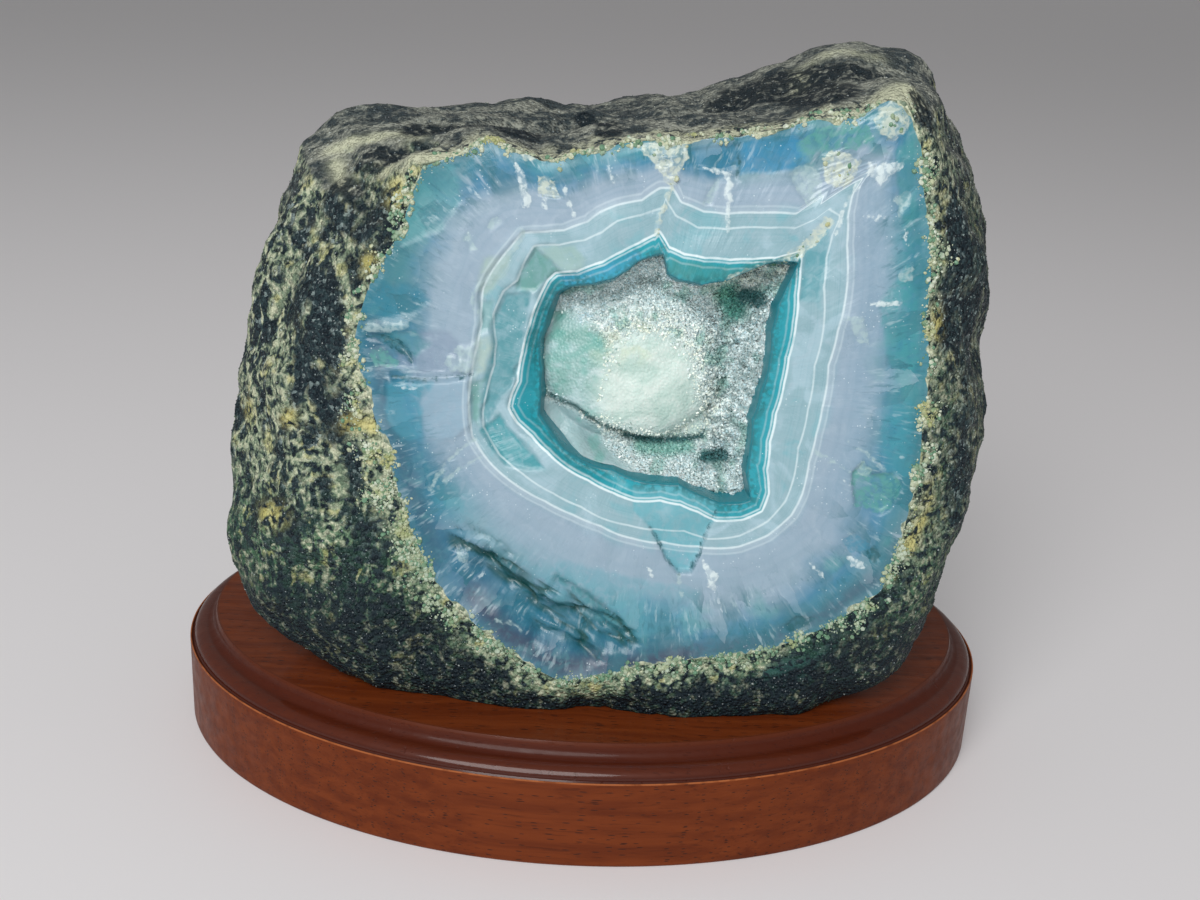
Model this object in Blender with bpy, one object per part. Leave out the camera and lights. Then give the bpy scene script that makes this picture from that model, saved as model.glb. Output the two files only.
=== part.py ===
"""A rough agate with a crystal-lined hollow, standing on an oval wooden base with a moulded edge.

Lengths are in millimetres and become metres when a mesh is made. +Z is up, and the banded face looks
along -Y, so that +X is on the right of someone who faces it. The origin is the middle of the base's
underside.
"""

import math
import random

import bmesh
import bpy
import numpy as np
from mathutils import Vector, noise

MM = 0.001

# Wooden base
BASE_LENGTH = 177.0
BASE_WIDTH = 129.5
BASE_HEIGHT = 23.7
BASE_SIDE_HEIGHT = 18.5
FOOT_CHAMFER = 0.5
QUIRK_WIDTH = 0.9
QUIRK_DEPTH = 0.35
BEAD_WIDTH = 2.7
BEAD_HEIGHT = 2.2
COVE_WIDTH = 2.0
FILLET_HEIGHT = 0.8
FILLET_WIDTH = 0.4
BASE_COLUMNS = 80
ARC_STEPS = 3
BASE_CREASE = math.radians(30.0)

# How the stone stands
GAP = 0.3
REST_HEIGHT = BASE_HEIGHT + GAP

# Banded face, which leans back a little
FACE_LEAN = math.radians(8.0)
FACE_FOOT_Y = -49.0
FACE_FOOT_Z = 30.0

# Depth of the stone from front to back
SIDE_Y = -19.0
SIDE_Y_SWING = 27.0
BACK_Y = 46.0
SHOULDER_ROUNDNESS = 1.45
BACK_ROUNDNESS = 2.5

# The hollow's middle is where all outlines are measured from, as x and z
MIDDLE = (10.0, 88.0)
HEART = (3.0, 0.0, 82.0)

COLUMNS = 84
FACE_RINGS = 9
SHOULDER_RINGS = 8
ROUGHENING_RINGS = 3
BACK_RINGS = 12
BACK_CROWDING = 1.5

# Outlines as x and z, seen from the front and listed anticlockwise from the right
HOLLOW_RIM = [
    (30.4, 89), (31.5, 94.5), (31.4, 100), (33.5, 108), (36, 113.2), (30.8, 113), (26, 111), (22.5, 109),
    (18, 108), (13.5, 109), (11.7, 110), (10.7, 113.8), (6, 112), (1.5, 108.4), (-3, 107), (-8.6, 105.2),
    (-10.5, 99), (-11.4, 95), (-11, 84), (-9, 79.5), (-3, 74), (3.5, 72.3), (12, 71), (17, 70.5),
    (22, 68.2), (28, 67.5), (30, 68.4), (29, 74), (29.3, 83),
]
FACE_EDGE = [
    (60.7, 84), (59.5, 104), (57, 126), (55, 137), (52, 142.3), (48.5, 142), (44, 138.7), (37, 138.4),
    (31, 136.4), (23, 134.5), (14, 133.3), (6, 133), (-4, 130.6), (-12, 128.5), (-21.6, 132), (-27, 129),
    (-33.6, 126.5), (-37, 115), (-42, 107), (-45.3, 95), (-42, 83), (-39, 75), (-35.4, 63.5), (-32, 55),
    (-28, 48), (-22.4, 42.5), (-16.5, 38), (-10.6, 34), (-4.6, 31), (3, 32.4), (10.7, 35), (22, 37),
    (34, 39), (47, 45), (56, 52), (59.5, 66),
]
WIDEST = [
    (79, 88), (79, 98), (77, 112), (72, 127), (68, 137), (64, 144.5), (57, 149), (48, 150.5),
    (42, 149), (36, 146), (25, 142), (18, 138.5), (6, 135.5), (-9, 133), (-24, 133.5), (-42, 133.5),
    (-53, 130), (-60, 124.5), (-62.5, 117), (-65.5, 103), (-69.5, 90), (-72, 78), (-72, 60), (-69.5, 46),
    (-65.5, 38), (-59, 31.5), (-50, 27), (-42, 24), (-25, 22), (5, 21.5), (35, 21.5), (46, 23.5),
    (54, 26.5), (61.5, 33), (67.5, 43), (73, 58), (76.5, 74),
]

# The hollow below its rim: share of the rim's radius, and depth below the face
HOLLOW_PROFILE = [(0.985, 2.5), (0.955, 8.0), (0.87, 12.5), (0.6, 14.5), (0.3, 15.0)]
HOLLOW_DEPTH = 15.0
MOUTH_REACH = 3.0

# Grooves and ridges: start, end, half width and depth; a ridge has a depth below nought
FACE_GROOVES = [
    ((-17, -44, 51), (10, -46, 39), 2.6, 1.7),
    ((-5, -46, 38), (13, -46, 35), 1.8, 1.2),
    ((-24, -38, 76), (-19, -35, 104), 3.0, 1.0),
    ((14, -41, 67), (18, -43, 56), 4.0, 0.9),
    ((10, -32, 131), (10, -34, 118), 2.2, 0.8),
    ((47, -32, 135), (37, -35, 115), 3.0, 1.3),
]
RIND_GROOVES = [
    ((-34, -18, 134), (-8, -12, 135), 5.0, 3.2),
    ((-43, -27, 130), (-34, -28, 130), 2.6, 3.0),
    ((0, -12, 135), (20, -10, 138), 6.0, 2.2),
    ((28, -13, 143), (54, -15, 148), 7.0, 4.0),
    ((-67, -22, 64), (-63, -27, 46), 4.0, 3.0),
    ((-58, -26, 106), (-60, -27, 76), 4.5, 1.8),
    ((-48, -32, 120), (-46, -33, 108), 5.0, 1.8),
    ((-57, -20, 128), (-64, -20, 96), 3.5, -1.6),
    ((-62, -8, 128), (-20, 10, 137), 4.0, -1.5),
    ((66, -22, 104), (69, -24, 62), 5.0, 1.5),
    ((-40, 44, 62), (22, 48, 48), 8.0, 4.0),
    ((28, 42, 118), (52, 34, 92), 9.0, 4.0),
    ((-76, 12, 92), (-70, 22, 58), 8.0, 3.0),
    ((82, 6, 104), (80, 10, 66), 7.0, 2.5),
    ((-30, 34, 118), (8, 40, 124), 6.0, -2.5),
]
LUMP_SIZE = 26.0
LUMP_HEIGHT = 3.4
KNOB_SIZE = 9.0
KNOB_HEIGHT = 1.5

# Crystal crust, in the plane of the face: x and upwards from the hollow's middle
CRYSTAL_PITCH = 2.3
CRYSTAL_HEIGHT = 1.9
SHORTEST_CRYSTAL = 0.3
CRYSTAL_SHIFT = 0.3
CRYSTAL_SEED = 7
CRUST_SPAN = 54.0
CRUST_LEVEL = 11.3
CRUST_BACK = 20.0
CRUST_EDGE_RISE = 4.0
CRUST_EDGE_SHARE = 0.72
LUMP_CENTRE = (-4.0, 4.0)
LUMP_HALF_WIDTH = 15.0
LUMP_HALF_RISE = 13.0
LUMP_FOOT = -8.5
LUMP_FOOT_SLOPE = 2.0
LUMP_RISE = 6.2
LUMP_SMOOTHING = 0.75


def clear_scene():
    """Remove every object that the file opened with."""
    for thing in list(bpy.data.objects):
        bpy.data.objects.remove(thing, do_unlink=True)


def principled(name, colour, roughness, metallic=0.0):
    """A plain surface of one colour."""
    material = bpy.data.materials.new(name)
    material.use_nodes = True
    shader = material.node_tree.nodes["Principled BSDF"]
    shader.inputs["Base Color"].default_value = (*colour, 1.0)
    shader.inputs["Roughness"].default_value = roughness
    shader.inputs["Metallic"].default_value = metallic
    return material


def add_object(name, mesh_data, material):
    """Turn a bmesh into a named object with one material."""
    bmesh.ops.recalc_face_normals(mesh_data, faces=mesh_data.faces)
    mesh = bpy.data.meshes.new(name)
    mesh_data.to_mesh(mesh)
    mesh_data.free()
    mesh.materials.append(material)
    thing = bpy.data.objects.new(name, mesh)
    bpy.context.scene.collection.objects.link(thing)
    return thing


def loft(name, rings, first_tip, last_tip, material):
    """Close a skin over rings of points; a tip is a point, or None where the end ring is one flat face."""
    skin = bmesh.new()
    loops = [[skin.verts.new(Vector(point) * MM) for point in ring] for ring in rings]
    for lower, upper in zip(loops, loops[1:]):
        for i in range(len(lower)):
            skin.faces.new((lower[i - 1], lower[i], upper[i], upper[i - 1]))
    for loop, tip in ((loops[0], first_tip), (loops[-1], last_tip)):
        if tip is None:
            skin.faces.new(loop)
            continue
        peak = skin.verts.new(Vector(tip) * MM)
        for i in range(len(loop)):
            skin.faces.new((loop[i - 1], loop[i], peak))
    return add_object(name, skin, material)


def smoothstep(low, high, value):
    """Rise from 0 to 1 as the value goes from low to high."""
    share = min(max((value - low) / (high - low), 0.0), 1.0)
    return share * share * (3.0 - 2.0 * share)


# Wooden base


def base_profile():
    """The base's edge as inset and height, from the underside up: side, quirk, bead, cove and fillet."""
    profile = [(FOOT_CHAMFER, 0.0), (0.0, FOOT_CHAMFER), (0.0, BASE_SIDE_HEIGHT)]
    profile.append((QUIRK_WIDTH - QUIRK_DEPTH, BASE_SIDE_HEIGHT - QUIRK_DEPTH))
    turns = [math.pi / 2 * step / ARC_STEPS for step in range(ARC_STEPS + 1)]
    bead_foot = QUIRK_WIDTH + BEAD_WIDTH
    for turn in turns:
        inset = bead_foot - BEAD_WIDTH * math.cos(turn)
        profile.append((inset, BASE_SIDE_HEIGHT + BEAD_HEIGHT * math.sin(turn)))
    cove_top = BASE_HEIGHT - FILLET_HEIGHT
    cove_height = cove_top - BASE_SIDE_HEIGHT - BEAD_HEIGHT
    for turn in turns[1:]:
        profile.append((bead_foot + COVE_WIDTH * math.sin(turn), cove_top - cove_height * math.cos(turn)))
    profile.append((bead_foot + COVE_WIDTH + FILLET_WIDTH, BASE_HEIGHT))
    return profile


def oval(inset, height):
    """One level ring of the base, moved in from the outer oval by the inset, square to the oval."""
    half_length = BASE_LENGTH / 2
    half_width = BASE_WIDTH / 2
    ring = []
    for column in range(BASE_COLUMNS):
        turn = 2 * math.pi * column / BASE_COLUMNS
        edge = Vector((half_length * math.cos(turn), half_width * math.sin(turn), height))
        outward = Vector((math.cos(turn) / half_length, math.sin(turn) / half_width, 0)).normalized()
        ring.append(edge - inset * outward)
    return ring


def make_base():
    """The oval base, one piece of wood."""
    wood = principled("base_wood", (0.16, 0.045, 0.016), 0.32)
    rings = [oval(inset, height) for inset, height in base_profile()]
    return loft("display_base", rings, None, None, wood)


# Stone


def angles():
    """The directions round the hollow's middle in which every outline is read."""
    return np.linspace(0.0, 2 * math.pi, COLUMNS, endpoint=False)


def radii(outline):
    """An outline's distance from the hollow's middle in each direction."""
    points = np.array(outline, float) - MIDDLE
    turns = np.arctan2(points[:, 1], points[:, 0])
    return np.interp(angles(), turns, np.hypot(points[:, 0], points[:, 1]), period=2 * math.pi)


def on_face(x, z, depth=0.0):
    """A point on the leaning face, or that far below it."""
    y = FACE_FOOT_Y + (z - FACE_FOOT_Z) * math.tan(FACE_LEAN)
    return Vector((x, y, z)) + depth * Vector((0, math.cos(FACE_LEAN), -math.sin(FACE_LEAN)))


def groove_depth(point, grooves):
    """How deep the grooves are at a point; it is below nought on a ridge."""
    depth = 0.0
    for start, end, half_width, groove in grooves:
        start, end = Vector(start), Vector(end)
        run = end - start
        along = min(max((point - start).dot(run) / run.length_squared, 0.0), 1.0)
        gap = (point - start - along * run).length
        depth += groove * math.exp(-((gap / half_width) ** 2))
    return depth


def hollow_rings(inset=0.0):
    """Rings down the hollow's wall and over its floor, drawn in from the stone by the inset."""
    rim = radii(HOLLOW_RIM)
    rings = []
    for share, depth in HOLLOW_PROFILE:
        ring = []
        for turn, radius in zip(angles(), rim):
            reach = radius * share - inset
            flat = on_face(MIDDLE[0] + reach * math.cos(turn), MIDDLE[1] + reach * math.sin(turn))
            ring.append(on_face(flat.x, flat.z, depth - inset))
        rings.append(ring)
    return rings


def face_rings():
    """Rings over the banded face, from the hollow's rim out to the rind, with its broken grooves."""
    rim, edge = radii(HOLLOW_RIM), radii(FACE_EDGE)
    rings = []
    for step in range(FACE_RINGS):
        share = step / (FACE_RINGS - 1)
        ring = []
        for turn, low, high in zip(angles(), rim, edge):
            reach = low + (high - low) * share
            flat = on_face(MIDDLE[0] + reach * math.cos(turn), MIDDLE[1] + reach * math.sin(turn))
            ring.append(on_face(flat.x, flat.z, groove_depth(flat, FACE_GROOVES)))
        rings.append(ring)
    return rings


def roughened(point, share):
    """A rind point after lumps, knobs and grooves; the share eases them in beside the face."""
    outward = (point - Vector(HEART)).normalized()
    lump = LUMP_HEIGHT * noise.fractal(point / LUMP_SIZE, 1.0, 2.0, 2)
    knob = KNOB_HEIGHT * noise.fractal(point / KNOB_SIZE + Vector((40, 0, 0)), 1.0, 2.0, 2)
    moved = point + share * (lump + knob - groove_depth(point, RIND_GROOVES)) * outward
    moved.z = max(moved.z, REST_HEIGHT)
    return moved


def widest_y(turn):
    """Where the stone is widest: further back at the top than at the sides, and at the front below."""
    return SIDE_Y + SIDE_Y_SWING * math.sin(turn)


def shoulder_rings():
    """Rings over the rind from the face's edge back to where the stone is widest."""
    edge, widest = radii(FACE_EDGE), radii(WIDEST)
    rings = []
    for step in range(1, SHOULDER_RINGS + 1):
        bend = math.pi / 2 * step / SHOULDER_RINGS
        out = math.sin(bend) ** (2 / SHOULDER_ROUNDNESS)
        back = 1 - math.cos(bend) ** (2 / SHOULDER_ROUNDNESS)
        ring = []
        for turn, low, high in zip(angles(), edge, widest):
            reach = low + (high - low) * out
            x, z = MIDDLE[0] + reach * math.cos(turn), MIDDLE[1] + reach * math.sin(turn)
            front = on_face(x, z).y
            point = Vector((x, front + (widest_y(turn) - front) * back, z))
            ring.append(roughened(point, min(step / ROUGHENING_RINGS, 1.0)))
        rings.append(ring)
    return rings


def back_rings():
    """Rings over the rind from where the stone is widest to the middle of its back."""
    widest = radii(WIDEST)
    middling = widest.mean()
    rings = []
    for step in range(1, BACK_RINGS):
        bend = math.pi / 2 * (1 - (1 - step / BACK_RINGS) ** BACK_CROWDING)
        out = math.cos(bend) ** (2 / BACK_ROUNDNESS)
        back = math.sin(bend) ** (2 / BACK_ROUNDNESS)
        centre_x = MIDDLE[0] + (HEART[0] - MIDDLE[0]) * back
        centre_z = MIDDLE[1] + (HEART[2] - MIDDLE[1]) * back
        ring = []
        for turn, radius in zip(angles(), widest):
            reach = (middling + (radius - middling) * out) * out
            x = centre_x + reach * math.cos(turn)
            z = centre_z + reach * math.sin(turn)
            point = Vector((x, widest_y(turn) + (BACK_Y - widest_y(turn)) * back, z))
            ring.append(roughened(point, 1.0))
        rings.append(ring)
    return rings


def make_agate():
    """The whole stone as one skin: hollow, banded face, shoulder, sides and back."""
    stone = principled("agate_stone", (0.10, 0.30, 0.34), 0.35)
    rings = hollow_rings()[::-1] + face_rings() + shoulder_rings() + back_rings()
    floor = on_face(*MIDDLE, HOLLOW_DEPTH)
    back = roughened(Vector((HEART[0], BACK_Y, HEART[2])), 1.0)
    return loft("agate", rings, floor, back, stone)


# Crystals in the hollow


def lump_dome(x, up):
    """The big lump among the crystals: 1 on its top, nought beside it, with a broken-off lower edge."""
    lump_x = (x - LUMP_CENTRE[0]) / LUMP_HALF_WIDTH
    lump_up = (up - LUMP_CENTRE[1]) / LUMP_HALF_RISE
    dome = math.sqrt(max(1.0 - lump_x**2 - lump_up**2, 0.0))
    return dome * smoothstep(LUMP_FOOT - LUMP_FOOT_SLOPE, LUMP_FOOT, up)


def crust_level(x, up):
    """Height of the crust's bed against the face, at a place measured from the hollow's middle."""
    rim = np.interp(math.atan2(up, x), angles(), radii(HOLLOW_RIM), period=2 * math.pi)
    edge = CRUST_EDGE_RISE * smoothstep(CRUST_EDGE_SHARE, 1.0, math.hypot(x, up) / rim)
    return max(LUMP_RISE * lump_dome(x, up), edge) - CRUST_LEVEL


def make_crust(mould):
    """The druse: a bed of four-sided crystal points, cut to the hollow by the mould."""
    quartz = principled("quartz_druse", (0.62, 0.72, 0.68), 0.15)
    chance = random.Random(CRYSTAL_SEED)
    cells = round(CRUST_SPAN / CRYSTAL_PITCH)
    shift = CRYSTAL_PITCH * CRYSTAL_SHIFT
    bed = bmesh.new()
    bmesh.ops.create_grid(bed, x_segments=cells, y_segments=cells, size=CRUST_SPAN / 2)
    for vertex in bed.verts:
        vertex.co.x += chance.uniform(-shift, shift)
        vertex.co.y += chance.uniform(-shift, shift)
        vertex.co.z = crust_level(vertex.co.x, vertex.co.y)
    for tip in bmesh.ops.poke(bed, faces=bed.faces)["verts"]:
        tip.co.x += chance.uniform(-shift, shift)
        tip.co.y += chance.uniform(-shift, shift)
        stubby = 1.0 - LUMP_SMOOTHING * lump_dome(tip.co.x, tip.co.y)
        tip.co.z += CRYSTAL_HEIGHT * stubby * chance.uniform(SHORTEST_CRYSTAL, 1.0)
    border = bmesh.ops.extrude_edge_only(bed, edges=[edge for edge in bed.edges if edge.is_boundary])
    for vertex in border["geom"]:
        if isinstance(vertex, bmesh.types.BMVert):
            vertex.co.z = -CRUST_BACK
    bmesh.ops.contextual_create(bed, geom=[edge for edge in bed.edges if edge.is_boundary])
    bmesh.ops.scale(bed, vec=(MM, MM, MM), verts=bed.verts)
    crust = add_object("hollow_crystals", bed, quartz)
    crust.location = on_face(*MIDDLE) * MM
    crust.rotation_euler = (math.pi / 2 - FACE_LEAN, 0.0, 0.0)
    cut = crust.modifiers.new("cut to the hollow", "BOOLEAN")
    cut.operation = "INTERSECT"
    cut.object = mould
    return crust


def make_mould():
    """The space inside the hollow, a little clear of the stone, used only to shape the crust."""
    helper = principled("helper", (0.5, 0.5, 0.5), 0.8)
    rings = hollow_rings(GAP)
    mouth = [on_face(point.x, point.z, -MOUTH_REACH) for point in rings[0]]
    floor = on_face(*MIDDLE, HOLLOW_DEPTH - GAP)
    mould = loft("hollow_mould", [mouth] + rings, None, floor, helper)
    mould.hide_render = True
    mould.display_type = "WIRE"
    return mould


def main():
    """Build the three pieces."""
    clear_scene()
    base = make_base()
    base.data.shade_smooth()
    base.data.set_sharp_from_angle(angle=BASE_CREASE)
    make_agate()
    make_crust(make_mould())


main()
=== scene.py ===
"""Looks of a rough agate with a crystal-lined hollow, on an oval wooden base.

Lengths are in millimetres, and MM turns them into Blender's metres. +Z is up, and the banded face looks
along -Y and leans back a little. Outlines on the face are given as x and z.
"""

import logging
import math
from dataclasses import dataclass, field
from enum import Enum
from functools import cached_property, reduce
from typing import Any, Sequence

import bpy
import numpy as np
from mathutils import Matrix, Vector, noise


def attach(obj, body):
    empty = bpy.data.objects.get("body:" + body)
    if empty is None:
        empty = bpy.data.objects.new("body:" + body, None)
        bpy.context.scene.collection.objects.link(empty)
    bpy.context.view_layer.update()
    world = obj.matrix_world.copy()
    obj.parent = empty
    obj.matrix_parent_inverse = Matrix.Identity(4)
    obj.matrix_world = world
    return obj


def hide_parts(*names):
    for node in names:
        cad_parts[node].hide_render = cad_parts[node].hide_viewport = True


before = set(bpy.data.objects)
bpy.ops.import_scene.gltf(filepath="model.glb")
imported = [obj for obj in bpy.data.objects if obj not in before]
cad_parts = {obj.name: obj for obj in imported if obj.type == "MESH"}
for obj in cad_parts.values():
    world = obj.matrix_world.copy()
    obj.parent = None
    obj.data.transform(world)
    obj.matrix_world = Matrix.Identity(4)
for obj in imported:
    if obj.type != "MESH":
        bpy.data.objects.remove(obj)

MM = 0.001
BODY = "root"

Array = np.ndarray
Colour = tuple[float, float, float]
Line = Sequence[tuple[float, ...]]

log = logging.getLogger("agate")

# Middle of the hollow, from which every outline is read
MIDDLE = (10.0, 88.0)
HEART = (3.0, 0.0, 82.0)

# Outlines on the face, anticlockwise as seen from the front
RIM: Line = [
    (31.5, 94.5), (31.4, 100.2), (32.3, 105.4), (33.7, 108.7), (35.6, 113.1), (30.8, 112.9), (26.2, 110.9),
    (22.7, 109.1), (18, 108.1), (13.7, 108.8), (11.7, 109.8), (10.7, 113.5), (6.2, 111.9), (4.3, 110.2),
    (1.7, 108.4), (-1.9, 107.3), (-6.6, 106.4), (-8.6, 105.2), (-9.3, 103.4), (-10.5, 99.1), (-11.4, 96.3),
    (-10.9, 90.6), (-10.7, 85.8), (-11, 82), (-9.2, 79.7), (-6.2, 76.4), (-2.4, 73.9), (3.5, 72.5),
    (7.9, 71.2), (12.3, 70.8), (16.1, 70.8), (21.5, 68.5), (24, 67.5), (28, 67.7), (29.8, 68.4),
    (28.7, 73.3), (29.1, 78.1), (29.1, 83.6), (30.4, 88.9),
]
LINE_A: Line = [
    (34.4, 90.9), (34.9, 95.6), (35.7, 102.2), (35.7, 107.3), (35.8, 112), (35.8, 115.1), (34, 114.5),
    (31.1, 113.6), (27, 113.2), (22.8, 112.9), (18.2, 113), (14.4, 113.5), (11.6, 114.6), (10.2, 116.7),
    (9.4, 117.6), (9.1, 116.8), (6.1, 115.1), (3.2, 113.5), (-0.3, 111.4), (-4.9, 109.4), (-8.9, 108.8),
    (-10.2, 107.5), (-11.7, 104.2), (-13.3, 99), (-14.4, 94.1), (-15.1, 88.6), (-16.3, 85.5), (-16.6, 83.6),
    (-15, 80.9), (-12.1, 78.6), (-9, 75.9), (-6.1, 73.5), (-1.1, 70.9), (3.7, 68.7), (7.8, 67.3),
    (12.7, 67.7), (16.5, 67.1), (20, 65.8), (23.3, 64.2), (28.6, 64.6), (32.1, 66.5), (33.1, 69.9),
    (32.4, 74.4), (32.6, 79.8), (33.3, 85.1),
]
LINE_B: Line = [
    (39.8, 94.3), (40.8, 103.4), (40.3, 108.8), (40.4, 114.1), (41.1, 118.6), (42.3, 121.6), (39.7, 122.9),
    (37.9, 120.9), (34.4, 119.1), (29.3, 118.9), (21.7, 118.3), (16.6, 118.3), (12.5, 120.2), (10.7, 122.6),
    (10.6, 124), (10.1, 121.5), (6.3, 120.1), (1.9, 118.8), (-0.7, 116.7), (-3.8, 115.1), (-8.4, 114),
    (-13, 113.6), (-14.5, 110.9), (-15.8, 107.2), (-18.3, 105.1), (-20, 100.8), (-19.3, 95.6), (-19.5, 91.5),
    (-20.8, 86.2), (-21.4, 82.5), (-21.1, 79.8), (-17.8, 74.7), (-13.6, 71.7), (-7.6, 68.1), (-2.2, 65.7),
    (1.5, 63.9), (6.9, 62.6), (12.2, 61.9), (17.6, 61.8), (21.5, 60.6), (28.2, 61.5), (33.3, 64.6),
    (36.3, 68.7), (37.6, 73.5), (37.9, 78.9), (39.2, 86.3),
]
LINE_C: Line = [
    (42.4, 94.5), (43.5, 101.2), (43.9, 116.6), (43.6, 121.7), (44, 125.4), (45.9, 128.7), (39.5, 125.4),
    (37.7, 123), (34.2, 121.6), (27.6, 121.5), (21.5, 121), (17.5, 121.2), (13.2, 122.7), (11.6, 125.1),
    (9.3, 125), (6.2, 122.7), (1.7, 121.6), (-1.3, 120.2), (-3.5, 118.4), (-7.6, 116.7), (-11.1, 116.2),
    (-15.2, 115.8), (-17.1, 113.3), (-20.6, 108.4), (-22, 105.5), (-22.1, 98.9), (-22.6, 95.4), (-23.5, 90.2),
    (-23.9, 85), (-23.1, 78.1), (-19.8, 73.5), (-15.6, 70), (-9, 66.5), (-3.6, 64.1), (1.8, 62.2),
    (5.5, 60.6), (8.2, 60), (13.5, 59.4), (21.6, 58.8), (28.4, 59.5), (33.5, 61.9), (37.6, 66),
    (39.4, 70.3), (40.2, 76.3), (41.1, 81.7), (41.8, 86.4),
]
FACE_EDGE: Line = [
    (60.7, 84), (59.5, 104), (57, 126), (55, 137), (52, 142.3), (48.5, 142), (44, 138.7), (37, 138.4),
    (31, 136.4), (23, 134.5), (14, 133.3), (6, 133), (-4, 130.6), (-12, 128.5), (-21.6, 132), (-27, 129),
    (-33.6, 126.5), (-37, 115), (-42, 107), (-45.3, 95), (-42, 83), (-39, 75), (-35.4, 63.5), (-32, 55),
    (-28, 48), (-22.4, 42.5), (-16.5, 38), (-10.6, 34), (-4.6, 31), (3, 32.4), (10.7, 35), (22, 37),
    (34, 39), (47, 45), (56, 52), (59.5, 66),
]
WIDEST: Line = [
    (79, 88), (79, 98), (77, 112), (72, 127), (68, 137), (64, 144.5), (57, 149), (48, 150.5),
    (42, 149), (36, 146), (25, 142), (18, 138.5), (6, 135.5), (-9, 133), (-24, 133.5), (-42, 133.5),
    (-53, 130), (-60, 124.5), (-62.5, 117), (-65.5, 103), (-69.5, 90), (-72, 78), (-72, 60), (-69.5, 46),
    (-65.5, 38), (-59, 31.5), (-50, 27), (-42, 24), (-25, 22), (5, 21.5), (35, 21.5), (46, 23.5),
    (54, 26.5), (61.5, 33), (67.5, 43), (73, 58), (76.5, 74),
]
# The lines that part the face's bands, outward from band 0 to band 4, where the rind begins
FACE_LINES = (RIM, LINE_A, LINE_B, LINE_C, FACE_EDGE)
RIND_BAND = 4.0
# The steepest that a line is taken to run across the rays from the hollow's middle
STEEPEST = 1.2


# Measuring points against lines


def smoothstep(low: float, high: float, values: Any) -> Array:
    """Rise from 0 to 1 as the values go from low to high."""
    share = np.clip((np.asarray(values, float) - low) / (high - low), 0.0, 1.0)
    return share * share * (3.0 - 2.0 * share)


def line_gap(points: Array, line: Line) -> Array:
    """Measure how far points are from a line of two or three dimensions.

    Args:
        points: One row for each point.
        line: The line's corners.

    Returns:
        The distance of each point from the nearest part of the line.
    """
    corners = np.asarray(line, float)
    nearest = np.full(len(points), np.inf)
    for start, end in zip(corners, corners[1:]):
        run = end - start
        along = np.clip((points - start) @ run / (run @ run), 0.0, 1.0)
        away = points - start - along[:, None] * run
        nearest = np.minimum(nearest, np.sqrt((away * away).sum(1)))
    return nearest


def patch_gap(points: Array, outline: Line) -> Array:
    """Measure how far points are outside a closed outline.

    Args:
        points: One row of x and z for each point.
        outline: The outline's corners, in either order.

    Returns:
        The distance of each point from the outline, below nought inside it.
    """
    corners = list(outline) + [outline[0]]
    inside = np.zeros(len(points), bool)
    for (x0, z0), (x1, z1) in zip(corners, corners[1:]):
        crossing = (z0 > points[:, 1]) != (z1 > points[:, 1])
        reach = (x1 - x0) * (points[:, 1] - z0) / ((z1 - z0) or 1e-9) + x0
        inside ^= crossing & (points[:, 0] < reach)
    gap = line_gap(points, corners)
    return np.where(inside, -gap, gap)


def line_side(points: Array, line: Line) -> tuple[Array, Array]:
    """Measure points against a line that has a left and a right side.

    Args:
        points: One row of x and z for each point.
        line: The line's corners; its right side counts as above nought.

    Returns:
        The signed distance from the line, and how far along it from 0 to 1.
    """
    corners = np.asarray(line, float)
    nearest = np.full(len(points), np.inf)
    signed = np.zeros(len(points))
    share = np.zeros(len(points))
    pieces = len(corners) - 1
    for piece, (start, end) in enumerate(zip(corners, corners[1:])):
        run = end - start
        free = (points - start) @ run / (run @ run)
        along = np.clip(free, 0.0, 1.0)
        away = points - start - along[:, None] * run
        gap = np.sqrt((away * away).sum(1))
        side = np.sign(run[1] * away[:, 0] - run[0] * away[:, 1])
        closer = gap < nearest
        nearest = np.where(closer, gap, nearest)
        signed = np.where(closer, gap * side, signed)
        share = np.where(closer, (piece + free) / pieces, share)
    return signed, share


def square_gap(reach: Array, radius: Array, slope: Array) -> Array:
    """Turn distances from a line along the rays into distances square to the line.

    Args:
        reach: How far from the hollow's middle each point is.
        radius: How far the line is in the same direction.
        slope: How fast the line's radius grows with the turn.

    Returns:
        The distance of each point outside the line.
    """
    return (reach - radius) * np.cos(np.arctan(np.clip(slope / radius, -STEEPEST, STEEPEST)))


def fractal(points: Array, size: float, octaves: int = 2, shift: float = 0.0) -> Array:
    """Read soft noise at points.

    Args:
        points: One row of x, y and z for each point.
        size: Width of the largest lumps.
        octaves: How many sizes of lump are added up.
        shift: Moves the noise along x, for one that differs.

    Returns:
        The noise, mostly from -1 to 1.
    """
    scaled = points / size + np.array((shift, 0.0, 0.0))
    return np.array([noise.fractal(Vector(point), 1.0, 2.0, octaves) for point in scaled])


# Form of the stone


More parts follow.
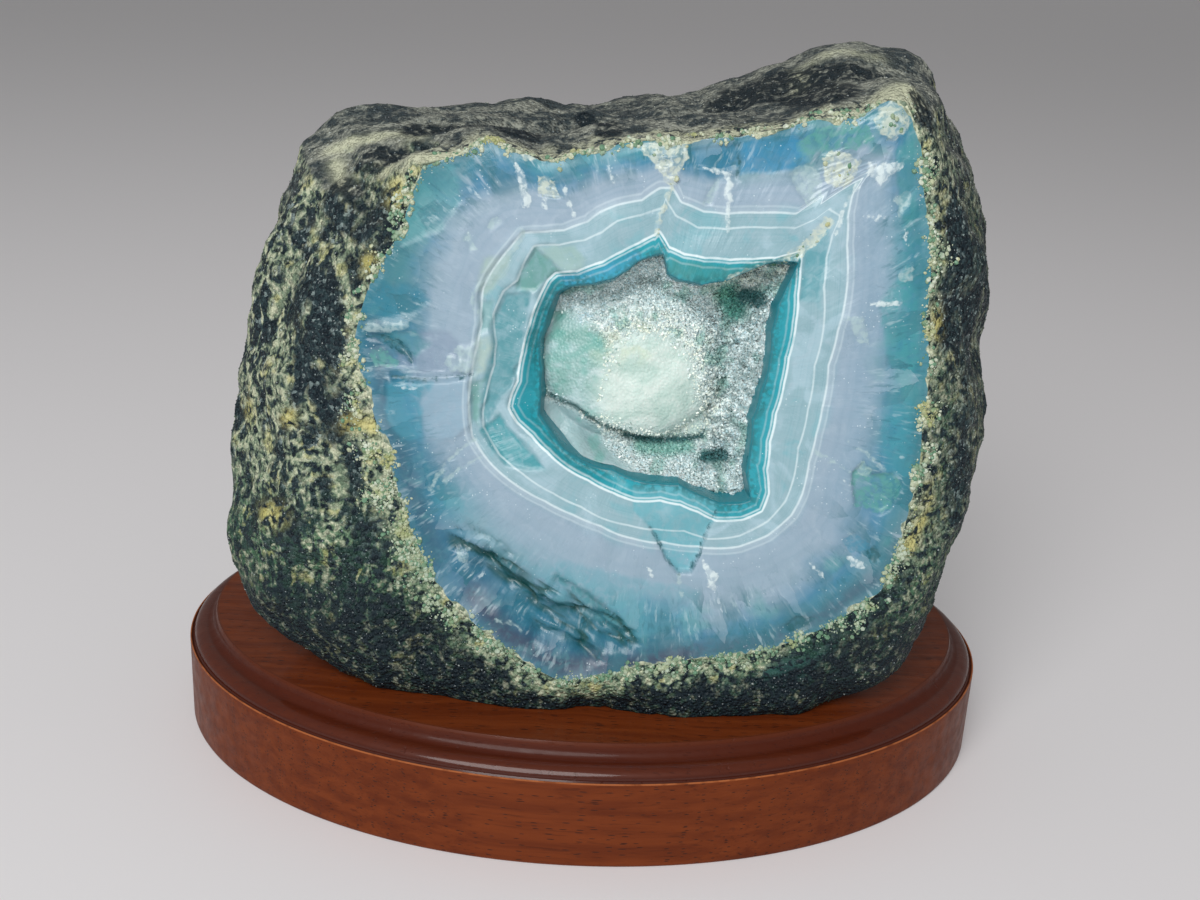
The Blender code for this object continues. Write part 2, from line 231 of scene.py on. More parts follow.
@dataclass(frozen=True)
class StoneForm:
    """The stone's planes, depths and roughness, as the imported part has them."""

    lean: float = math.radians(8.0)
    foot_y: float = -49.0
    foot_z: float = 30.0
    side_y: float = -19.0
    side_y_swing: float = 27.0
    back_y: float = 46.0
    shoulder_roundness: float = 1.45
    back_roundness: float = 2.5
    back_crowding: float = 1.5
    rest_height: float = 23.75
    lump_size: float = 26.0
    lump_height: float = 3.4
    knob_size: float = 9.0
    knob_height: float = 1.15
    knob_shift: float = 40.0

    def outward(self) -> Array:
        """The direction that the face looks in."""
        return np.array((0.0, -math.cos(self.lean), math.sin(self.lean)))

    def upward(self) -> Array:
        """The direction up along the face."""
        return np.array((0.0, math.sin(self.lean), math.cos(self.lean)))

    def on_face(self, x: Array, z: Array, depth: Any = 0.0) -> Array:
        """Find points on the leaning face, or below it.

        Args:
            x: How far right each point is.
            z: How high its foot on the face is.
            depth: How deep below the face it lies.

        Returns:
            The points, with x, y and z last.
        """
        y = self.foot_y + (z - self.foot_z) * math.tan(self.lean)
        flat = np.stack(np.broadcast_arrays(x, y, z), axis=-1)
        return flat - np.asarray(depth)[..., None] * self.outward()

    def flattened(self, points: Array) -> tuple[Array, Array]:
        """Lay points flat on the face.

        Args:
            points: One row of x, y and z for each point.

        Returns:
            The x and z of each point's foot on the face, and its height above the face.
        """
        height = (points - self.on_face(*MIDDLE)) @ self.outward()
        foot = points - height[:, None] * self.outward()
        return np.stack((foot[:, 0], foot[:, 2]), axis=1), height

    def radii(self, outline: Line, turns: Array) -> Array:
        """Read an outline's distance from the hollow's middle in each direction."""
        points = np.array(outline, float) - MIDDLE
        corners = np.arctan2(points[:, 1], points[:, 0])
        return np.interp(turns, corners, np.hypot(points[:, 0], points[:, 1]), period=2 * math.pi)

    def roughened(self, points: Array, share: Any, grooves: Sequence[tuple]) -> Array:
        """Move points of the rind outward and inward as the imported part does.

        Args:
            points: One row of x, y and z for each point.
            share: How much of the roughness each point takes.
            grooves: Start, end, half width and depth of each groove.

        Returns:
            The moved points.
        """
        outward = points - HEART
        outward /= np.linalg.norm(outward, axis=1, keepdims=True)
        lump = self.lump_height * fractal(points, self.lump_size)
        knob = self.knob_height * fractal(points, self.knob_size, shift=self.knob_shift)
        depth = np.zeros(len(points))
        for start, end, half_width, groove in grooves:
            depth += groove * np.exp(-((line_gap(points, (start, end)) / half_width) ** 2))
        return points + (share * (lump + knob - depth))[:, None] * outward


FORM = StoneForm()

RIND_GROOVES = (
    ((-34, -18, 134), (-8, -12, 135), 5.0, 3.2),
    ((-43, -27, 130), (-34, -28, 130), 2.6, 3.0),
    ((0, -12, 135), (20, -10, 138), 6.0, 2.2),
    ((28, -13, 143), (54, -15, 148), 7.0, 4.0),
    ((-67, -22, 64), (-63, -27, 46), 4.0, 3.0),
    ((-58, -26, 106), (-60, -27, 76), 4.5, 1.8),
    ((-48, -32, 120), (-46, -33, 108), 5.0, 1.8),
    ((-57, -20, 128), (-64, -20, 96), 3.5, -1.6),
    ((-62, -8, 128), (-20, 10, 137), 4.0, -1.5),
    ((66, -22, 104), (69, -24, 62), 5.0, 1.5),
    ((-40, 44, 62), (22, 48, 48), 8.0, 4.0),
    ((28, 42, 118), (52, 34, 92), 9.0, 4.0),
    ((-76, 12, 92), (-70, 22, 58), 8.0, 3.0),
    ((82, 6, 104), (80, 10, 66), 7.0, 2.5),
    ((-30, 34, 118), (8, 40, 124), 6.0, -2.5),
)


# What is painted or chipped on the banded face


class Paint(Enum):
    """Colours that chips and patches of the face take, each with its own attribute."""

    WHITE = "white"
    CREAM = "cream"
    # DARK is painted shade: along steps, ledges and the wedge's edges, in a notch and beside the crust
    DARK = "dark"
    GREEN = "green"
    PALE = "pale"
    BLUE = "blue"


@dataclass(frozen=True)
class Chip:
    """A flake, chip or small facet of the face."""

    outline: Line
    paint: Paint
    depth: float = 0.0


@dataclass(frozen=True)
class Vein:
    """A line on the face with a colour, and a groove or ridge along it."""

    line: Line
    paint: Paint
    half_width: float
    depth: float = 0.0


@dataclass(frozen=True)
class Scarp:
    """A broken step of the face: it drops beside its line and comes back up further down."""

    line: Line
    depth: float
    drop_width: float
    return_width: float


WEDGE: Line = [
    (7.4, 70.2), (23, 70.9), (23.5, 64.4), (22.1, 62.8), (20.9, 58), (19.2, 53.8), (16.9, 53.7), (14.5, 56.3),
    (12.8, 59.6), (11.1, 62.4), (7.7, 65.4),
]
CHIPS = (
    Chip([(-16.8, 128.1), (-16.2, 128.1), (-13.9, 122.5), (-14.3, 120.3), (-15.2, 120.4)], Paint.WHITE, -0.2),
    Chip([(-12.7, 125.8), (-10, 126), (-8.4, 122.7), (-9, 122.2), (-12.4, 122.7)], Paint.CREAM, 0.3),
    Chip([(-12, 122.4), (-11.1, 122.2), (-11.1, 120.5), (-11.6, 120.6)], Paint.WHITE, -0.1),
    Chip([(-8.3, 124), (-7.8, 124.2), (-5.7, 119), (-6.3, 119.5)], Paint.WHITE, -0.1),
    Chip([(-0.3, 128.5), (0.1, 128.6), (1.2, 124.9), (0.6, 125.3)], Paint.WHITE, -0.1),
    Chip([(-17.8, 131.7), (-13.1, 131.7), (-13.2, 129.1), (-15, 128.4), (-16.5, 130)], Paint.CREAM, -0.4),
    Chip([(-21.6, 116.8), (-20.8, 118.4), (-19.5, 118.7), (-18.9, 117.6), (-21.2, 115.6)], Paint.PALE, 0.2),
    Chip([(-25.7, 114.4), (-25, 115.4), (-24.2, 114.2), (-23.6, 112.6), (-24.6, 112.4)], Paint.PALE, 0.2),
    Chip([(-44.3, 97.8), (-39.7, 98.6), (-35, 98.8), (-35.9, 97.3), (-40.6, 96.7), (-43.9, 96.6)],
          Paint.PALE, -0.3),
    Chip([(-42.4, 93.4), (-40.4, 93.8), (-36.7, 91), (-37.8, 90.4), (-42, 90.2)], Paint.GREEN, 0.2),
    # Painted shade in a notch
    Chip([(-43.9, 95.9), (-40.2, 95.3), (-37.3, 93.2), (-34.2, 90.6), (-34.3, 91.9), (-36, 94.6),
          (-39.7, 96.4)], Paint.DARK, 0.9),
    Chip([(-28.6, 92.7), (-27.3, 93.3), (-25.1, 92.3), (-25.7, 90.5), (-27.2, 90), (-28.4, 91.4)],
          Paint.PALE, -0.3),
    Chip([(-26.6, 95), (-24.4, 94.8), (-22.6, 96), (-22.3, 94.3), (-22.8, 90.8), (-24.2, 89.8),
          (-26.1, 90.1)], Paint.PALE, -0.4),
    Chip([(5.3, 132.8), (14, 133.2), (14, 130.5), (12.7, 128), (12, 125.5), (10.7, 125.4), (9.1, 127.8),
          (7.6, 129.8), (5.5, 131.4)], Paint.CREAM, -0.3),
    Chip([(16.6, 129.2), (21.3, 128.7), (22.3, 127.9), (20.3, 127.8), (17.4, 128.5)], Paint.WHITE, -0.2),
    Chip([(20.8, 128), (21.9, 128.4), (22.6, 124.2), (22.2, 121), (22.3, 117.7), (21.4, 117.8),
          (21.4, 122.6)], Paint.WHITE, -0.15),
    Chip([(17.4, 122.9), (18.8, 126.5), (20.3, 127.8), (18.9, 122.6), (17.8, 122.2)], Paint.PALE, 0.2),
    Chip([(32.4, 128.2), (33.7, 130), (35.4, 130.8), (37.2, 129.5), (38.8, 127.1), (38.3, 124.3),
          (36.6, 122.8),
          (34.6, 125)], Paint.PALE, 0.4),
    Chip([(37.9, 131.6), (39.7, 133.1), (43, 132.7), (45.1, 131.6), (44.7, 129.5), (43.5, 127), (41, 126.2),
          (39.1, 127.5)], Paint.CREAM, -0.3),
    Chip([(45.5, 131.1), (52.7, 131.5), (52.6, 130.8), (49.2, 127.6), (46.9, 129.3)], Paint.WHITE, -0.3),
    Chip([(46.5, 138.3), (47.7, 140.8), (50.2, 142.2), (52.8, 141.3), (53.3, 138.6), (52.2, 136.5),
          (50.4, 135.2),
          (47.7, 136.3)], Paint.CREAM, -0.6),
    Chip([(51, 124.9), (53.3, 126.4), (54.9, 126.8), (54.3, 124.3), (52.8, 122.2), (52.1, 124.2)],
          Paint.PALE, 0.3),
    Chip([(46.1, 122), (50.5, 122), (49.5, 121.3), (47.3, 121.4)], Paint.WHITE, -0.1),
    Chip([(53.9, 120.1), (54.7, 119.4), (54.8, 116.7), (54.2, 117.6)], Paint.WHITE, -0.1),
    Chip([(49.2, 106.2), (55, 107.2), (55.1, 106.3), (50.9, 105.7)], Paint.WHITE, -0.1),
    Chip([(53.7, 111.5), (54.6, 113), (56.2, 113.4), (56.6, 111.2), (54.9, 110.3)], Paint.PALE, -0.2),
    Chip([(21.7, 56.5), (23, 55), (24.4, 53.9), (24, 50.7), (22.8, 51), (22.1, 54.1)], Paint.WHITE, -0.2),
    Chip([(11.3, 54.2), (12.1, 53.9), (12.2, 52.5), (11.6, 52.7)], Paint.WHITE, -0.1),
    Chip([(-25.7, 56.2), (-23.2, 56.3), (-22.8, 54.4), (-24.7, 53.5)], Paint.PALE, -0.2),
    Chip([(48.4, 74.6), (50.5, 77), (52.4, 74.6), (56.2, 74.8), (58.1, 72.8), (56.2, 68.1), (54.6, 67),
          (49.6, 68.5), (48.9, 71.4)], Paint.GREEN, 0.8),
    Chip([(49.1, 76), (50.5, 77), (52.2, 75), (51.5, 73.8), (49.6, 74.1)], Paint.PALE, -0.1),
    Chip([(46.3, 73.6), (48.3, 72.3), (47.8, 72.9)], Paint.WHITE, -0.1),
    Chip([(41.9, 57), (44.4, 55.2), (45.3, 53.7), (43.7, 54.4)], Paint.WHITE, -0.1),
    Chip([(48.5, 58.5), (51.9, 57.5), (52.8, 55.6), (50, 56.6)], Paint.WHITE, -0.1),
    Chip([(47.5, 61.6), (50.2, 62.9), (53.5, 60.9), (53.2, 59.5), (49.4, 59.4)], Paint.BLUE, 0.3),
    # The next two chips are painted shadow beside the crust
    Chip([(52.4, 59.5), (53.9, 60.7), (55.6, 58.9), (55.3, 57.7), (53.3, 58)], Paint.DARK, 0.5),
    Chip([(37.8, 44.1), (40.5, 46.3), (43.8, 46), (42.6, 43.6), (40.2, 42.7)], Paint.DARK, 0.5),
    Chip([(43.7, 103.4), (47.7, 103.9), (49.7, 98.5), (47.4, 99.5), (45.6, 102.7)], Paint.PALE, -0.2),
    Chip([(33.2, 134), (36.4, 136.4), (40.8, 138), (45.8, 137.9), (46.8, 135.2), (44.4, 133.3), (39.4, 133.1),
          (34.4, 131.8)], Paint.GREEN, 0.0),
)
VEINS = (
    Vein([(-15.2, 116.2), (-15.7, 114.2), (-18, 111.6), (-21.1, 106.8), (-22, 106.6)],
         Paint.PALE, 0.45, -0.2),
    Vein([(-22.2, 106.4), (-23.6, 104.8), (-23.9, 102.3), (-22.7, 101.3)], Paint.PALE, 0.3, -0.2),
    Vein([(11.3, 125.4), (10.4, 122), (9.6, 119.7), (9.3, 116.7)], Paint.CREAM, 0.35, -0.3),
    Vein([(40.1, 120.5), (38, 117.5), (34.6, 114.1), (30.2, 112.1), (23.1, 109.1)], Paint.CREAM, 1.0, 0.3),
    Vein([(45.7, 128.5), (42.9, 123.6), (41.7, 118.2)], Paint.WHITE, 0.3),
    Vein([(-22.6, 77.7), (-27.7, 73.1), (-30.7, 67.8)], Paint.PALE, 0.3, 0.2),
    Vein([(-21.3, 74.3), (-25, 72.1), (-30.2, 67.4)], Paint.PALE, 0.25, 0.15),
    # Painted shade along a ledge
    Vein([(-38.3, 88.6), (-33.1, 88.4), (-28.1, 89.1), (-23.5, 89.6)], Paint.DARK, 0.25, 0.4),
    # Painted shade along a step
    Vein([(23, 133.7), (23.4, 127.8)], Paint.DARK, 0.2, 0.3),
    # The next two veins are painted shadow along the wedge's edges
    Vein([(23.5, 66), (22.1, 62.8), (20.9, 58), (19.2, 53.8)], Paint.DARK, 0.25, 0.3),
    Vein([(16.9, 53.7), (14.5, 56.3), (12.8, 59.6), (11.1, 62.4)], Paint.DARK, 0.2, 0.2),
    Vein([(16.9, 53.5), (18.3, 47.6)], Paint.PALE, 0.2),
    Vein([(40.9, 78.6), (44.1, 76.9), (48.4, 74.6)], Paint.PALE, 0.2),
    Vein([(47.2, 80.5), (51.2, 78.2), (54.6, 75.5)], Paint.PALE, 0.25),
    Vein([(-17.5, 42.8), (-14.7, 42.1), (-12, 40.8)], Paint.PALE, 0.3),
)
SCARPS = (
    Scarp([(-18.7, 56.5), (-13.5, 51.3), (-7.3, 47.6), (-0.5, 46.7), (7.6, 42.7)], 2.6, 2.0, 10.0),
    Scarp([(-5.8, 52.4), (-0.6, 49.3), (5.3, 44.8)], 1.0, 1.0, 6.0),
    Scarp([(-9.6, 42.7), (-2.7, 40.4), (2.8, 37.7)], 1.5, 1.4, 6.0),
    Scarp([(-38.3, 88.6), (-33.1, 88.4), (-28.1, 89.1), (-23.5, 89.6)], -0.7, 0.7, 14.0),
    Scarp([(23, 135), (23.3, 131), (23.4, 127)], 0.5, 0.5, 6.0),
)
# The cleft ground at the lower left of the face: lines that run across it, with half widths
CLEFT_LINES: tuple[tuple[Line, float], ...] = (
    ([(-24, 58), (-18.7, 55.5), (-13.5, 50.3), (-7.3, 46.6), (-0.5, 44.9), (7.6, 40.9)], 3.4),
    ([(-9.6, 42.5), (-2.7, 40.0), (2.8, 37.0)], 1.8),
)
# Broad zones of colour on the face, some of them painted shade below the scarps: a line, its half width, a
# colour and its strength
ZONES = (
    ([(-42, 105), (-40, 88), (-35, 72), (-30, 58)], 7.5, (0.014, 0.15, 0.235), 0.95),
    ([(-34, 122), (-36, 112), (-38, 104)], 4.5, (0.04, 0.20, 0.22), 0.7),
    ([(-29, 60), (-20, 47), (-8, 40), (6, 38)], 7.0, (0.014, 0.135, 0.235), 0.95),
    ([(-27, 66), (-16, 56), (-4, 51), (8, 46)], 3.4, (0.04, 0.28, 0.33), 0.7),
    ([(-28, 118), (-30, 106), (-27, 92), (-28, 80)], 5.0, (0.28, 0.38, 0.46), 0.55),
    ([(-20, 62), (0, 54), (20, 52), (38, 56)], 6.0, (0.26, 0.37, 0.45), 0.6),
    ([(48, 66), (50, 90), (50, 110), (50, 124)], 4.5, (0.20, 0.32, 0.42), 0.6),
    ([(56, 80), (57, 100), (55, 120)], 3.2, (0.05, 0.27, 0.32), 0.8),
    ([(52, 52), (40, 43), (28, 40)], 4.0, (0.04, 0.21, 0.26), 0.7),
    ([(-12, 128), (-4, 130), (6, 132)], 2.2, (0.07, 0.30, 0.36), 0.7),
    # Painted shade along the foot of the first scarp's step
    ([(-18, 54.5), (-13, 49.6), (-7, 46), (-0.8, 45), (7, 41.2)], 2.0, (0.008, 0.085, 0.09), 0.95),
    ([(-15, 46), (-8, 42.5), (2, 40.5)], 3.0, (0.02, 0.15, 0.20), 0.6),
    # Painted shade along the foot of the second and third scarps' steps
    ([(-5.5, 51.2), (-0.4, 48), (5, 43.6)], 0.9, (0.012, 0.11, 0.11), 0.8),
    ([(-9.2, 41.6), (-2.4, 39.2), (2.8, 36.5)], 1.2, (0.010, 0.09, 0.11), 0.8),
    ([(-22, 47.5), (-15, 40), (-5, 34.2), (6, 34.6), (20, 37.5)], 2.4, (0.035, 0.045, 0.085), 0.85),
    ([(22, 38.5), (34, 41), (46, 47), (54, 54)], 2.0, (0.06, 0.10, 0.15), 0.7),
    ([(-42, 98), (-39, 84), (-35, 70), (-29, 54)], 2.2, (0.03, 0.075, 0.12), 0.6),
    ([(58, 66), (60, 84), (59, 104), (56, 124)], 2.2, (0.02, 0.17, 0.21), 0.7),
)
# Facets and blocks with clear edges: outline, colour, strength, and how deep they lie
FACETS = (
    ([(-17.9, 104.6), (-13.4, 105.2), (-14.2, 98.4), (-15, 91), (-16, 88.1), (-18.2, 85.8), (-20.6, 80.4),
      (-21.6, 81.7), (-21.6, 86.9), (-20, 94.4), (-20, 99.9)], (0.075, 0.27, 0.31), 0.9, 0.5),
    ([(-12.8, 113.3), (-9.6, 110.9), (-7.7, 108.7), (-10.7, 107.1), (-12.5, 105.4), (-16.1, 105.4),
      (-15.1, 108.9)], (0.11, 0.30, 0.27), 0.85, 0.4),
    ([(-12.6, 113.5), (-5.5, 114), (-3.6, 111.9), (-3.9, 109.8), (-7.5, 108.9)], (0.30, 0.46, 0.42), 0.7,
      -0.1),
    ([(-22, 111.1), (-16.9, 111.8), (-18, 108.2), (-20.3, 105.4), (-22.3, 103.5), (-22.9, 106.1)],
     (0.34, 0.47, 0.43), 0.8, 0.1),
    ([(-22.6, 103.1), (-20.2, 103.2), (-20.4, 98.1), (-22.6, 97.1)], (0.20, 0.38, 0.39), 0.8, 0.3),
    ([(-22.6, 96.5), (-20.4, 97), (-20, 94.4), (-21.1, 90.7), (-23.1, 89.1)], (0.38, 0.50, 0.45), 0.8, 0.0),
    ([(-23.8, 87.8), (-21.2, 88.8), (-21.9, 85.1), (-22.1, 80.4), (-23.2, 81.3)], (0.16, 0.36, 0.33), 0.85,
      0.3),
    ([(-21.7, 79.1), (-18.1, 82.4), (-16.9, 80.2), (-14.2, 77.7), (-11.2, 75), (-9.3, 72.8), (-12.1, 72.3),
      (-16.8, 73), (-19.1, 75.8)], (0.03, 0.27, 0.31), 0.9, 0.5),
    ([(-37, 97), (-27.7, 97.4), (-24.3, 92.7), (-28.5, 90.1), (-34, 88.8), (-36.8, 89.9), (-37.8, 93.6)],
     (0.20, 0.27, 0.37), 0.6, 0.2),
    ([(-30.5, 88.2), (-24.2, 88.9), (-23.7, 85), (-23.6, 80.3), (-26.3, 77.3), (-31.9, 77.1), (-33, 84.5)],
     (0.24, 0.38, 0.48), 0.75, -0.3),
    ([(-39.5, 87.6), (-30.5, 88.2), (-33, 84.5), (-31.9, 77.1), (-36.2, 76.9), (-39.1, 80.5)],
     (0.05, 0.28, 0.38), 0.7, -0.3),
    ([(-34, 126.9), (-27.7, 127.2), (-26.3, 121.1), (-30.1, 115.7), (-37.3, 112.3), (-38.4, 114.2),
      (-34.7, 120.7)], (0.075, 0.30, 0.33), 0.6, 0.2),
    ([(-40.2, 105.7), (-34.4, 105.6), (-31.6, 103), (-34.3, 100.2), (-40.7, 98.9), (-43.6, 100.6)],
     (0.025, 0.19, 0.27), 0.8, 0.2),
    ([(-41.5, 96.2), (-34.2, 97.4), (-31.4, 94.8), (-34.1, 92.5), (-37.8, 93.6)], (0.045, 0.22, 0.26), 0.8,
      0.3),
    ([(14.3, 131.9), (22.6, 133.7), (23.1, 129.5), (19.9, 128.3), (15.2, 129.1)], (0.025, 0.19, 0.31), 0.85,
      0.3),
    ([(23.2, 133.7), (33.8, 134.9), (35.6, 131.2), (34.3, 129.7), (29.8, 128.6), (23.9, 128.3)],
     (0.03, 0.23, 0.40), 0.85, 0.1),
    ([(10.9, 113.4), (13.7, 112.4), (23.8, 111.8), (29.8, 113.1), (26.2, 110.9), (18, 108.1), (11.7, 109.6)],
     (0.035, 0.25, 0.25), 0.85, 0.0),
    ([(-8.3, 108.3), (-0.8, 110.2), (5.5, 113.6), (7.4, 112.2), (0.3, 107.3), (-7.4, 105.5)],
     (0.035, 0.31, 0.48), 0.9, 0.2),
    ([(36.3, 115.3), (39.1, 118.6), (40.5, 120), (40.7, 113.4), (39.5, 106.4), (36.1, 106.3)],
     (0.06, 0.28, 0.33), 0.75, 0.2),
    ([(51, 133.7), (54.5, 135.6), (55.8, 126.9), (55.4, 119.8), (53, 122.3)], (0.06, 0.27, 0.29), 0.6, 0.1),
    ([(50.8, 107), (54.8, 112.6), (57.7, 107.3), (59.2, 96.4), (57.1, 88.8), (52.5, 97.9)],
     (0.05, 0.29, 0.31), 0.55, 0.0),
    ([(52.8, 84.9), (58.4, 88.9), (59.9, 79.5), (58.9, 69.9), (54.8, 73.6)], (0.04, 0.26, 0.34), 0.5, 0.0),
    ([(-5.7, 55.2), (9.8, 52), (21.3, 50.5), (21.7, 44.6), (10.4, 40.1), (-1.3, 43.5), (-9.3, 49.1)],
     (0.10, 0.33, 0.40), 0.45, -0.1),
)


# What marks the rind


class Mark(Enum):
    """Kinds of patch on the rind."""

    CREAM = "cream"
    DARK = "dark"
    OCHRE = "ochre"
    OLIVE = "olive"
    TURQUOISE = "turquoise"


@dataclass(frozen=True)
class RindMark:
    """A patch or vein along a line in space, close to the rind."""

    kind: Mark
    half_width: float
    line: Line


RIND_MARKS = (
    RindMark(Mark.CREAM, 1.6, [(-52, -19, 124), (-49, -26, 120), (-53, -26, 117), (-55, -27, 111)]),
    RindMark(Mark.CREAM, 1.4, [(-48, -30, 114), (-47, -33, 111), (-49, -33, 108), (-46, -37, 104),
             (-46, -38, 102)]),
    RindMark(Mark.CREAM, 1.8, [(-54, -15, 126), (-48, -17, 128), (-40, -19, 130), (-34, -25, 128)]),
    RindMark(Mark.CREAM, 1.6, [(-48, -25, 122), (-42, -28, 124), (-35, -33, 127), (-29, -35, 128)]),
    RindMark(Mark.CREAM, 1.5, [(-58, -27, 105), (-61, -26, 100), (-64, -25, 96)]),
    RindMark(Mark.CREAM, 2.0, [(-47, -43, 70), (-48, -43, 67)]),
    RindMark(Mark.CREAM, 2.2, [(50, -29, 143), (53, -27, 144), (54, -33, 141)]),
    RindMark(Mark.CREAM, 1.6, [(37, -6, 144), (36, -12, 141)]),
    RindMark(Mark.CREAM, 2.2, [(-22, -18, 134), (-8, -14, 136), (6, -14, 138)]),
    RindMark(Mark.OCHRE, 2.2, [(-38, -34, 123), (-38, -34, 121)]),
    RindMark(Mark.OCHRE, 1.6, [(-43, -37, 109), (-43, -37, 108)]),
    RindMark(Mark.OCHRE, 1.6, [(-58, -37, 79), (-58, -37, 78)]),
    RindMark(Mark.OCHRE, 1.8, [(-46, -41, 79), (-42, -42, 79)]),
    RindMark(Mark.OCHRE, 2.0, [(-63, -38, 59), (-60, -40, 59)]),
    RindMark(Mark.OCHRE, 1.6, [(-68, -28, 77), (-68, -28, 76)]),
    RindMark(Mark.OCHRE, 1.5, [(-30, -46, 54), (-28, -46, 53)]),
    RindMark(Mark.OCHRE, 1.4, [(-23, -46, 48), (-22, -46, 47)]),
    RindMark(Mark.OCHRE, 1.3, [(60, -44, 61), (64, -42, 66), (64, -42, 70)]),
    RindMark(Mark.OCHRE, 2.0, [(43, 2, 149), (51, 1, 150), (54, -4, 148)]),
    RindMark(Mark.OCHRE, 1.3, [(62, -37, 105), (62, -38, 101)]),
    RindMark(Mark.DARK, 6.0, [(-49, -27, 118), (-43, -33, 117), (-40, -36, 114), (-41, -37, 110)]),
    RindMark(Mark.DARK, 7.0, [(-55, -34, 101), (-52, -37, 94), (-54, -37, 86), (-50, -40, 81)]),
    RindMark(Mark.DARK, 2.0, [(-57, -42, 60), (-56, -42, 52)]),
    RindMark(Mark.DARK, 1.8, [(-46, -42, 75), (-44, -43, 67)]),
    RindMark(Mark.DARK, 1.6, [(-47, -34, 109), (-45, -38, 104)]),
    RindMark(Mark.DARK, 1.8, [(-45, -44, 62), (-43, -45, 57)]),
    RindMark(Mark.DARK, 2.4, [(-44, -24, 127), (-40, -26, 126), (-36, -25, 128), (-34, -25, 128)]),
    RindMark(Mark.DARK, 1.4, [(-47, -24, 124), (-43, -27, 124)]),
    RindMark(Mark.DARK, 5.0, [(-36, -18, 130), (-27, -20, 132), (-17, -22, 132)]),
    RindMark(Mark.DARK, 3.0, [(-5, -5, 132), (0, -27, 134)]),
    RindMark(Mark.DARK, 7.0, [(24, -7, 138), (33, -8, 142), (40, -23, 142)]),
    RindMark(Mark.DARK, 4.5, [(39, -8, 143), (47, -12, 144.5), (52, -14, 144)]),
    RindMark(Mark.CREAM, 2.0, [(36, -4, 146), (44, -3, 149.5), (51, -6, 150), (56, -14, 148)]),
    RindMark(Mark.DARK, 2.6, [(55, -30, 142), (56, -32, 140)]),
    RindMark(Mark.DARK, 4.0, [(64, -32, 121), (66, -34, 111), (65, -36, 101)]),
    RindMark(Mark.DARK, 4.0, [(59, -46, 55), (38, -48, 33)]),
    RindMark(Mark.OLIVE, 4.0, [(60, -37, 116), (60, -38, 112)]),
    RindMark(Mark.OLIVE, 3.5, [(71, -23, 120), (70, -32, 112)]),
    RindMark(Mark.DARK, 3.5, [(70, -28, 116), (70, -32, 100), (70, -34, 84), (69, -36, 66)]),
    RindMark(Mark.OLIVE, 3.0, [(64, -40, 96), (66, -40, 82), (66, -40, 70), (62, -43, 58)]),
    RindMark(Mark.OLIVE, 2.5, [(73, -30, 100), (75, -28, 84), (73, -30, 68)]),
    RindMark(Mark.CREAM, 1.2, [(59.5, -42, 122), (62, -40, 112), (63, -40, 104)]),
    RindMark(Mark.CREAM, 1.2, [(62.5, -42, 92), (63.5, -42, 84), (63, -43, 76)]),
    RindMark(Mark.TURQUOISE, 2.5, [(51, -47, 38), (29, -48, 32)]),
)


# Objects, attributes and copies

# How many levels of weight a modifier tells apart
WEIGHT_STEPS = 10
# The kind of attribute for each width of a row, and the name that its values go by
ATTRIBUTE_KINDS = {1: ("FLOAT", "value"), 3: ("FLOAT_VECTOR", "vector"), 4: ("FLOAT_COLOR", "color")}


def deselect() -> None:
    """Clear the selection, so that an operator changes only the new piece."""
    for thing in bpy.context.selected_objects:
        thing.select_set(False)


def activate(thing: bpy.types.Object) -> None:
    """Select one piece alone, so that an operator changes only that."""
    deselect()
    thing.select_set(True)
    bpy.context.view_layer.objects.active = thing


def coordinates(thing: bpy.types.Object) -> Array:
    """Read a mesh's points, in millimetres."""
    flat = np.empty(len(thing.data.vertices) * 3, np.float32)
    thing.data.vertices.foreach_get("co", flat)
    return flat.reshape(-1, 3).astype(float) / MM


def normals(thing: bpy.types.Object) -> Array:
    """Read a mesh's smooth directions, one for each point."""
    flat = np.empty(len(thing.data.vertices) * 3, np.float32)
    thing.data.vertex_normals.foreach_get("vector", flat)
    return flat.reshape(-1, 3).astype(float)


def place_points(thing: bpy.types.Object, points: Array) -> None:
    """Move a mesh's points to new places, given in millimetres."""
    thing.data.vertices.foreach_set("co", (points * MM).astype(np.float32).ravel())
    thing.data.update()


def set_attribute(thing: bpy.types.Object, name: str, values: Array) -> None:
    """Store values on a mesh's points, for its finish to read.

    Args:
        thing: The piece.
        name: The attribute's name.
        values: One number, or one row of three or four, for each point.
    """
    width = 1 if values.ndim == 1 else values.shape[1]
    kind, key = ATTRIBUTE_KINDS[width]
    attribute = thing.data.attributes.new(name, kind, "POINT")
    attribute.data.foreach_set(key, values.astype(np.float32).ravel())


def stored(thing: bpy.types.Object, name: str, width: int = 1) -> Array:
    """Read the values that a mesh's points carry.

    Args:
        thing: The piece.
        name: The attribute's name.
        width: How many numbers each point has.

    Returns:
        One number, or one row of that width, for each point.
    """
    flat = np.empty(len(thing.data.vertices) * width, np.float32)
    thing.data.attributes[name].data.foreach_get(ATTRIBUTE_KINDS[width][1], flat)
    return flat.reshape(-1, width) if width > 1 else flat


